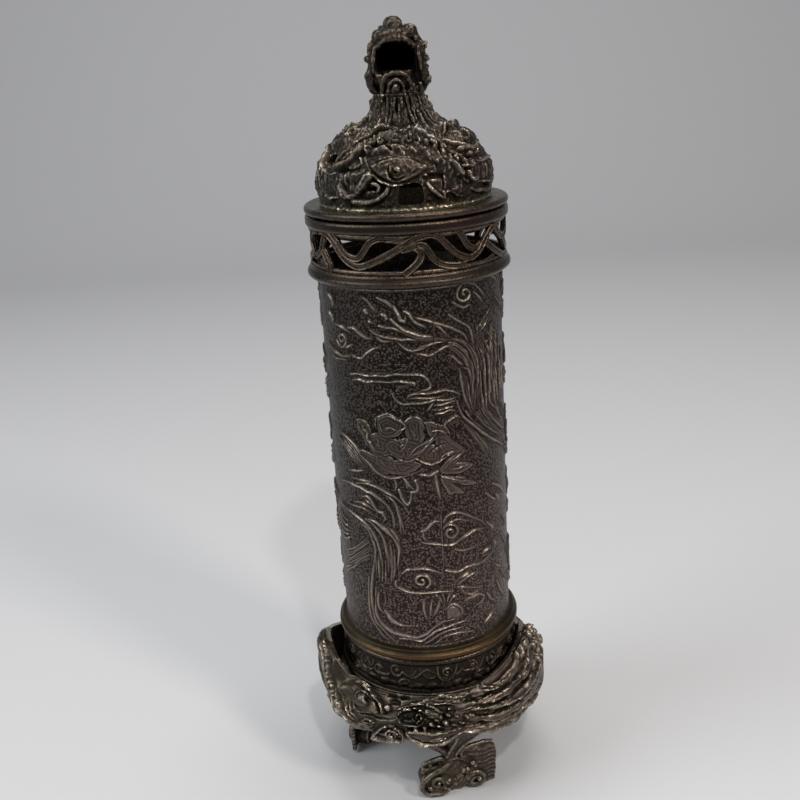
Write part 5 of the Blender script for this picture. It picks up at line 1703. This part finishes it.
def head_clay():
    """The dragon's head that tops the lid: open mouth to the front, curls and mane round it."""
    clay = Clay((-10.2, -10.6, NECK_TOP), (9.2, 8.8, 220.6), 0.24)
    clay.ball((-0.6, 0.9, 210.4), (6.2, 7.0, 6.6), 1.0)
    clay.roll([(-0.4, 0.2, 199), (-0.5, 0.4, 206)], [6.4, 6.1], 1.2)
    clay.ball((-0.8, -4.0, 214.9), (4.6, 3.9, 1.9), 1.0)
    clay.ball((-0.8, -4.4, 204.2), (4.0, 3.6, 2.4), 0.8)
    # cheeks: uneven strands from the brow to the jaw
    clay.roll([(-5.0, -4.4, 214.4), (-6.6, -4.5, 211.6), (-6.5, -4.8, 208.6), (-7.4, -4.3, 205.8),
               (-7.0, -3.7, 203.2), (-5.0, -2.8, 200.2)], [1.3, 1.05, 0.95, 1.15, 1.2, 0.8], 0.5)
    clay.roll([(4.2, -4.4, 214.6), (5.7, -4.6, 212), (5.8, -4.9, 208.8), (6.4, -4.4, 206), (6.3, -3.8, 203.4),
               (4.7, -2.8, 200.2)], [1.3, 1.1, 1.0, 1.1, 1.0, 0.8], 0.5)
    for side, x in ((-1, -5.9), (1, 5.0)):
        clay.roll([(x, -6.0, 212.2), (x + side * 0.4, -6.2, 209.4), (x + side * 0.5, -5.9, 206.8)],
                  [0.45, 0.5, 0.4], 0.2)
    # the open mouth, wider below and wider inside
    clay.taper([(-12, -0.7, 208.9, 5.0, 2.3, 0.9), (-6.4, -0.7, 208.9, 4.5, 2.2, 0.9),
                (-4, -0.7, 209.2, 4.6, 2.2, 1.2), (3.6, -0.7, 210, 4.2, 2.2, 1.4)], 0.2, hollow=True)
    clay.taper([(-12, -0.8, 211.6, 4.0, 2.2, 1.0), (-6.4, -0.8, 211.4, 3.8, 2.1, 1.0),
                (-4, -0.8, 211.4, 4.4, 2.0, 1.2), (3.6, -0.8, 211, 3.8, 2.0, 1.4)], 0.2, hollow=True)
    # broad cap with rounded corners, the upper lip under it and lumps upon it
    clay.ball((-0.9, -4.3, 215.3), (4.9, 3.7, 1.9), 0.8)
    clay.ball((-4.7, -4.9, 215.0), (1.75, 2.2, 1.75), 0.5)
    clay.ball((3.1, -4.9, 216.0), (1.95, 2.2, 1.75), 0.5)
    clay.roll([(-5.0, -6.0, 212.6), (-3.6, -7.4, 213.9), (-0.8, -8.0, 214.4), (2.2, -7.4, 214.0),
               (3.9, -5.8, 212.4)],
              [0.6, 0.75, 0.75, 0.7, 0.6], 0.4)
    for centre, size in (((-2.6, -7.2, 215.6), 0.75), ((0.5, -7.4, 215.8), 0.95), ((1.7, -7.3, 215.1), 0.6),
                         ((-0.9, -7.9, 215.0), 0.6), ((4.7, -5.6, 214.2), 0.8)):
        clay.ball(centre, size, 0.4)
    turn = np.linspace(0, 1, 24)

    def curl(x, y, z, size, hand=1, thick=0.42):
        clay.ball((x, y + 0.9, z), (size * 0.95, 1.3, size * 0.95), 0.3)
        clay.roll([(x + size * (1 - 0.75 * t) * math.cos(hand * (40 + 520 * t) * RAD), y - 0.1 - 0.5 * t,
                    z + size * (1 - 0.75 * t) * math.sin(hand * (40 + 520 * t) * RAD)) for t in turn],
                  [thick, 0.85 * thick, 0.75 * thick], 0.1, spacing=0.4)

    curl(3.4, -6.7, 216.3, 1.0, thick=0.36)
    # smooth oval knob on top
    clay.ball((-1.0, -2.9, 217.6), (2.55, 2.6, 2.2), 0.5)
    clay.roll([(0.3, -5.0, 216.9), (0.8, -4.6, 218.2), (-0.3, -4.2, 219.1)], [0.3, 0.36, 0.3], 0.3)
    # curls that break the outline of the cheeks
    for x, y, z, size, hand in ((6.5, -5.0, 212.4, 0.95, 1), (6.9, -4.8, 209.7, 0.85, -1),
                                (6.7, -4.7, 207.0, 0.8, 1), (7.1, -4.5, 204.0, 1.0, 1),
                                (-7.5, -4.8, 210.0, 0.9, -1), (-7.9, -4.4, 205.9, 0.95, 1),
                                (-6.6, -5.0, 212.9, 0.8, 1)):
        curl(x, y, z, size, hand, 0.36)
    # arched lower lip and chin with the drop under it and the dark gaps beside it
    clay.ball((-0.9, -5.6, 204.4), (3.9, 2.6, 2.0), 0.5)
    clay.roll([(-5.6, -5.2, 206.4), (-4.9, -6.2, 205.6), (-4.4, -6.6, 203.6)], [0.8, 0.8, 0.7], 0.3)
    clay.roll([(-4.5, -6.6, 201.9), (-4.3, -7.4, 204.0), (-3.2, -8.1, 205.8), (-0.9, -8.5, 206.4),
               (1.4, -8.2, 205.9), (2.5, -7.4, 204.2), (2.9, -6.6, 202.4)],
              [0.55, 0.7, 0.75, 0.7, 0.75, 0.65, 0.5], 0.25)
    clay.roll([(-3.0, -7.2, 201.8), (-2.5, -8.0, 203.8), (-0.9, -8.5, 204.9), (0.6, -8.0, 203.8),
               (1.1, -7.2, 201.8)],
              [0.45, 0.5, 0.5, 0.5, 0.45], 0.2)
    clay.ball((-0.9, -8.3, 202.8), (0.85, 0.8, 1.0), 0.2)
    clay.roll([(-1.2, -8.0, 202.4), (-1.0, -6.6, 200)], [0.9, 1.1], 0.3)
    clay.ball((4.3, -6.8, 202.9), (1.1, 3.2, 1.7), 0.3, hollow=True)
    clay.ball((-5.7, -6.2, 202.6), (0.6, 1.8, 1.3), 0.3, hollow=True)
    for x, lean in ((-3.8, -0.3), (-2.0, 0.1), (2.2, 0.3), (3.4, 0.4), (5.2, 0.4)):
        clay.roll([(x, -6.9 + 0.3 * abs(x), 203.4), (x + lean, -6.8 + 0.35 * abs(x), 200.2)], [0.55, 0.75],
                  0.2)
    # mane: rolls that run down the sides and the back, and two horns that lie back
    for k, azimuth in enumerate(range(72, 290, 15)):
        a = azimuth * RAD
        dx, dy = math.sin(a), -math.cos(a)
        sway = 0.9 if k % 2 else -0.8
        clay.roll([(-0.5 + 3.0 * dx, 0.3 + 3.4 * dy, 216.2),
                   (-0.5 + (6.0 + 0.3 * sway) * dx, 0.6 + 6.3 * dy, 212.6),
                   (-0.5 + (6.3 - 0.3 * sway) * dx + 0.4 * dy, 0.5 + 6.6 * dy, 208.4),
                   (-0.5 + (6.5 + 0.2 * sway) * dx, 0.4 + 6.6 * dy, 204.4),
                   (-0.4 + 5.2 * dx, 0.2 + 5.2 * dy, 200.4)],
                  [0.75, 0.95, 0.9, 0.85, 0.7], 0.2)
    for side in (-1, 1):
        clay.roll([(-0.8 + side * 2.4, -1.6, 216.2), (-0.8 + side * 3.2, 1.4, 217.0),
                   (-0.8 + side * 3.2, 4.0, 216.0), (-0.8 + side * 2.6, 6.0, 214.4)], [0.9, 0.85, 0.7, 0.4],
                  0.3)
    clay.field += 0.1 * grit(clay.field.shape, 3.2)
    clay.cut_below(NECK_TOP)
    clay.cut_above(HEAD_TOP)
    return clay.skin()


def make_head():
    points, faces = head_clay()
    mesh = mesh_from("head", points + (0.2, 0, 0), faces)
    x, y, z = corners_of(mesh)
    mouth = (abs(x + 0.5) < 5) & (z > 206.7) & (z < 213.6) & (y > -6.2 + 0.15 * (z - 206)) & (y < 4.2)
    finish_piece("dragon_head_finial", mesh, CAST, "lid", ["dragon_head"], angle=60,
                 rounds=(2, 9), depth=(0.06, 0.28), soot=mouth * PURE_BLACK)


# Camera, light and floor
def standing(place, *axes):
    """The matrix of something at a place, from where its own x, y and z axes point."""
    return Matrix.Translation(place) @ Matrix(np.column_stack(axes).tolist()).to_4x4()


def make_stage():
    camera = placed("camera", bpy.data.cameras.new("camera"))
    bpy.context.scene.camera = camera
    yaw, pitch, roll = (a * RAD for a in (-1.01, 19.52, -3.53))
    ahead = np.array([math.sin(yaw) * math.cos(pitch), math.cos(yaw) * math.cos(pitch), -math.sin(pitch)])
    right = np.array([math.cos(yaw), -math.sin(yaw), 0.0])
    up = np.cross(right, ahead)
    across = math.cos(roll) * right + math.sin(roll) * up
    above = -math.sin(roll) * right + math.cos(roll) * up
    camera.matrix_world = standing((0, -0.2676, 0.2123), across, above, -ahead)
    camera.data.lens, camera.data.sensor_width = 44.7, 36.0
    camera.data.clip_start, camera.data.clip_end = 0.01, 20

    floor = bpy.data.meshes.new("floor")
    size, back, rise = 3.0, 0.75, 3.0
    corners = [(-size, -size, 0), (size, -size, 0)]
    for t in np.linspace(0, 1, 13):
        y, z = back + 0.4 * math.sin(t * math.pi / 2), 0.4 * (1 - math.cos(t * math.pi / 2))
        corners += [(-size, y, z), (size, y, z)]
    corners += [(-size, back + 0.4, rise), (size, back + 0.4, rise)]
    faces = [(2 * k, 2 * k + 1, 2 * k + 3, 2 * k + 2) for k in range(len(corners) // 2 - 1)]
    floor.from_pydata(corners, [], faces)
    floor.polygons.foreach_set("use_smooth", [True] * len(faces))
    paper = bpy.data.materials.new("pale floor")
    paper.use_nodes = True
    shader = paper.node_tree.nodes["Principled BSDF"]
    shader.inputs["Base Color"].default_value = (0.56, 0.56, 0.57, 1)
    shader.inputs["Roughness"].default_value = 0.7
    floor.materials.append(paper)
    ground = placed("floor", floor)

    def lamp(name, place, aim, power, size, colour):
        light = bpy.data.lights.new(name, "AREA")
        light.shape, light.size, light.size_y = "RECTANGLE", size[0], size[1]
        light.energy, light.color = power, colour
        z = np.array(place, float) - np.array(aim, float)
        z /= np.linalg.norm(z)
        x = np.cross((0, 0, 1), z)
        x /= np.linalg.norm(x)
        placed(name, light).matrix_world = standing(place, x, np.cross(z, x), z)

    middle = (0, 0, 0.11)
    lamp("window left", (-0.75, -0.25, 0.62), middle, 4.6, (0.5, 0.6), (0.93, 0.97, 1.0))
    lamp("lamp right", (0.6, -0.55, 0.72), middle, 3.8, (0.16, 0.16), (1.0, 0.93, 0.86))
    lamp("ceiling", (0.05, 0.1, 0.95), middle, 3.4, (0.5, 0.3), (1.0, 0.99, 0.97))
    lamp("spark", (0.12, -0.5, 0.75), middle, 1.7, (0.04, 0.04), (1.0, 0.97, 0.93))
    world = bpy.data.worlds.new("room")
    bpy.context.scene.world = world
    world.use_nodes = True
    sky = world.node_tree.nodes["Background"]
    sky.inputs[0].default_value, sky.inputs[1].default_value = (0.80, 0.82, 0.85, 1), 0.36
    bpy.context.scene.view_settings.view_transform = "Standard"


make_stage()
for make in (make_tube, make_rings, make_holder, make_cup, make_wreath, make_feet, make_band, make_dome,
             make_neck, make_head):
    make()
bpy.context.view_layer.update()
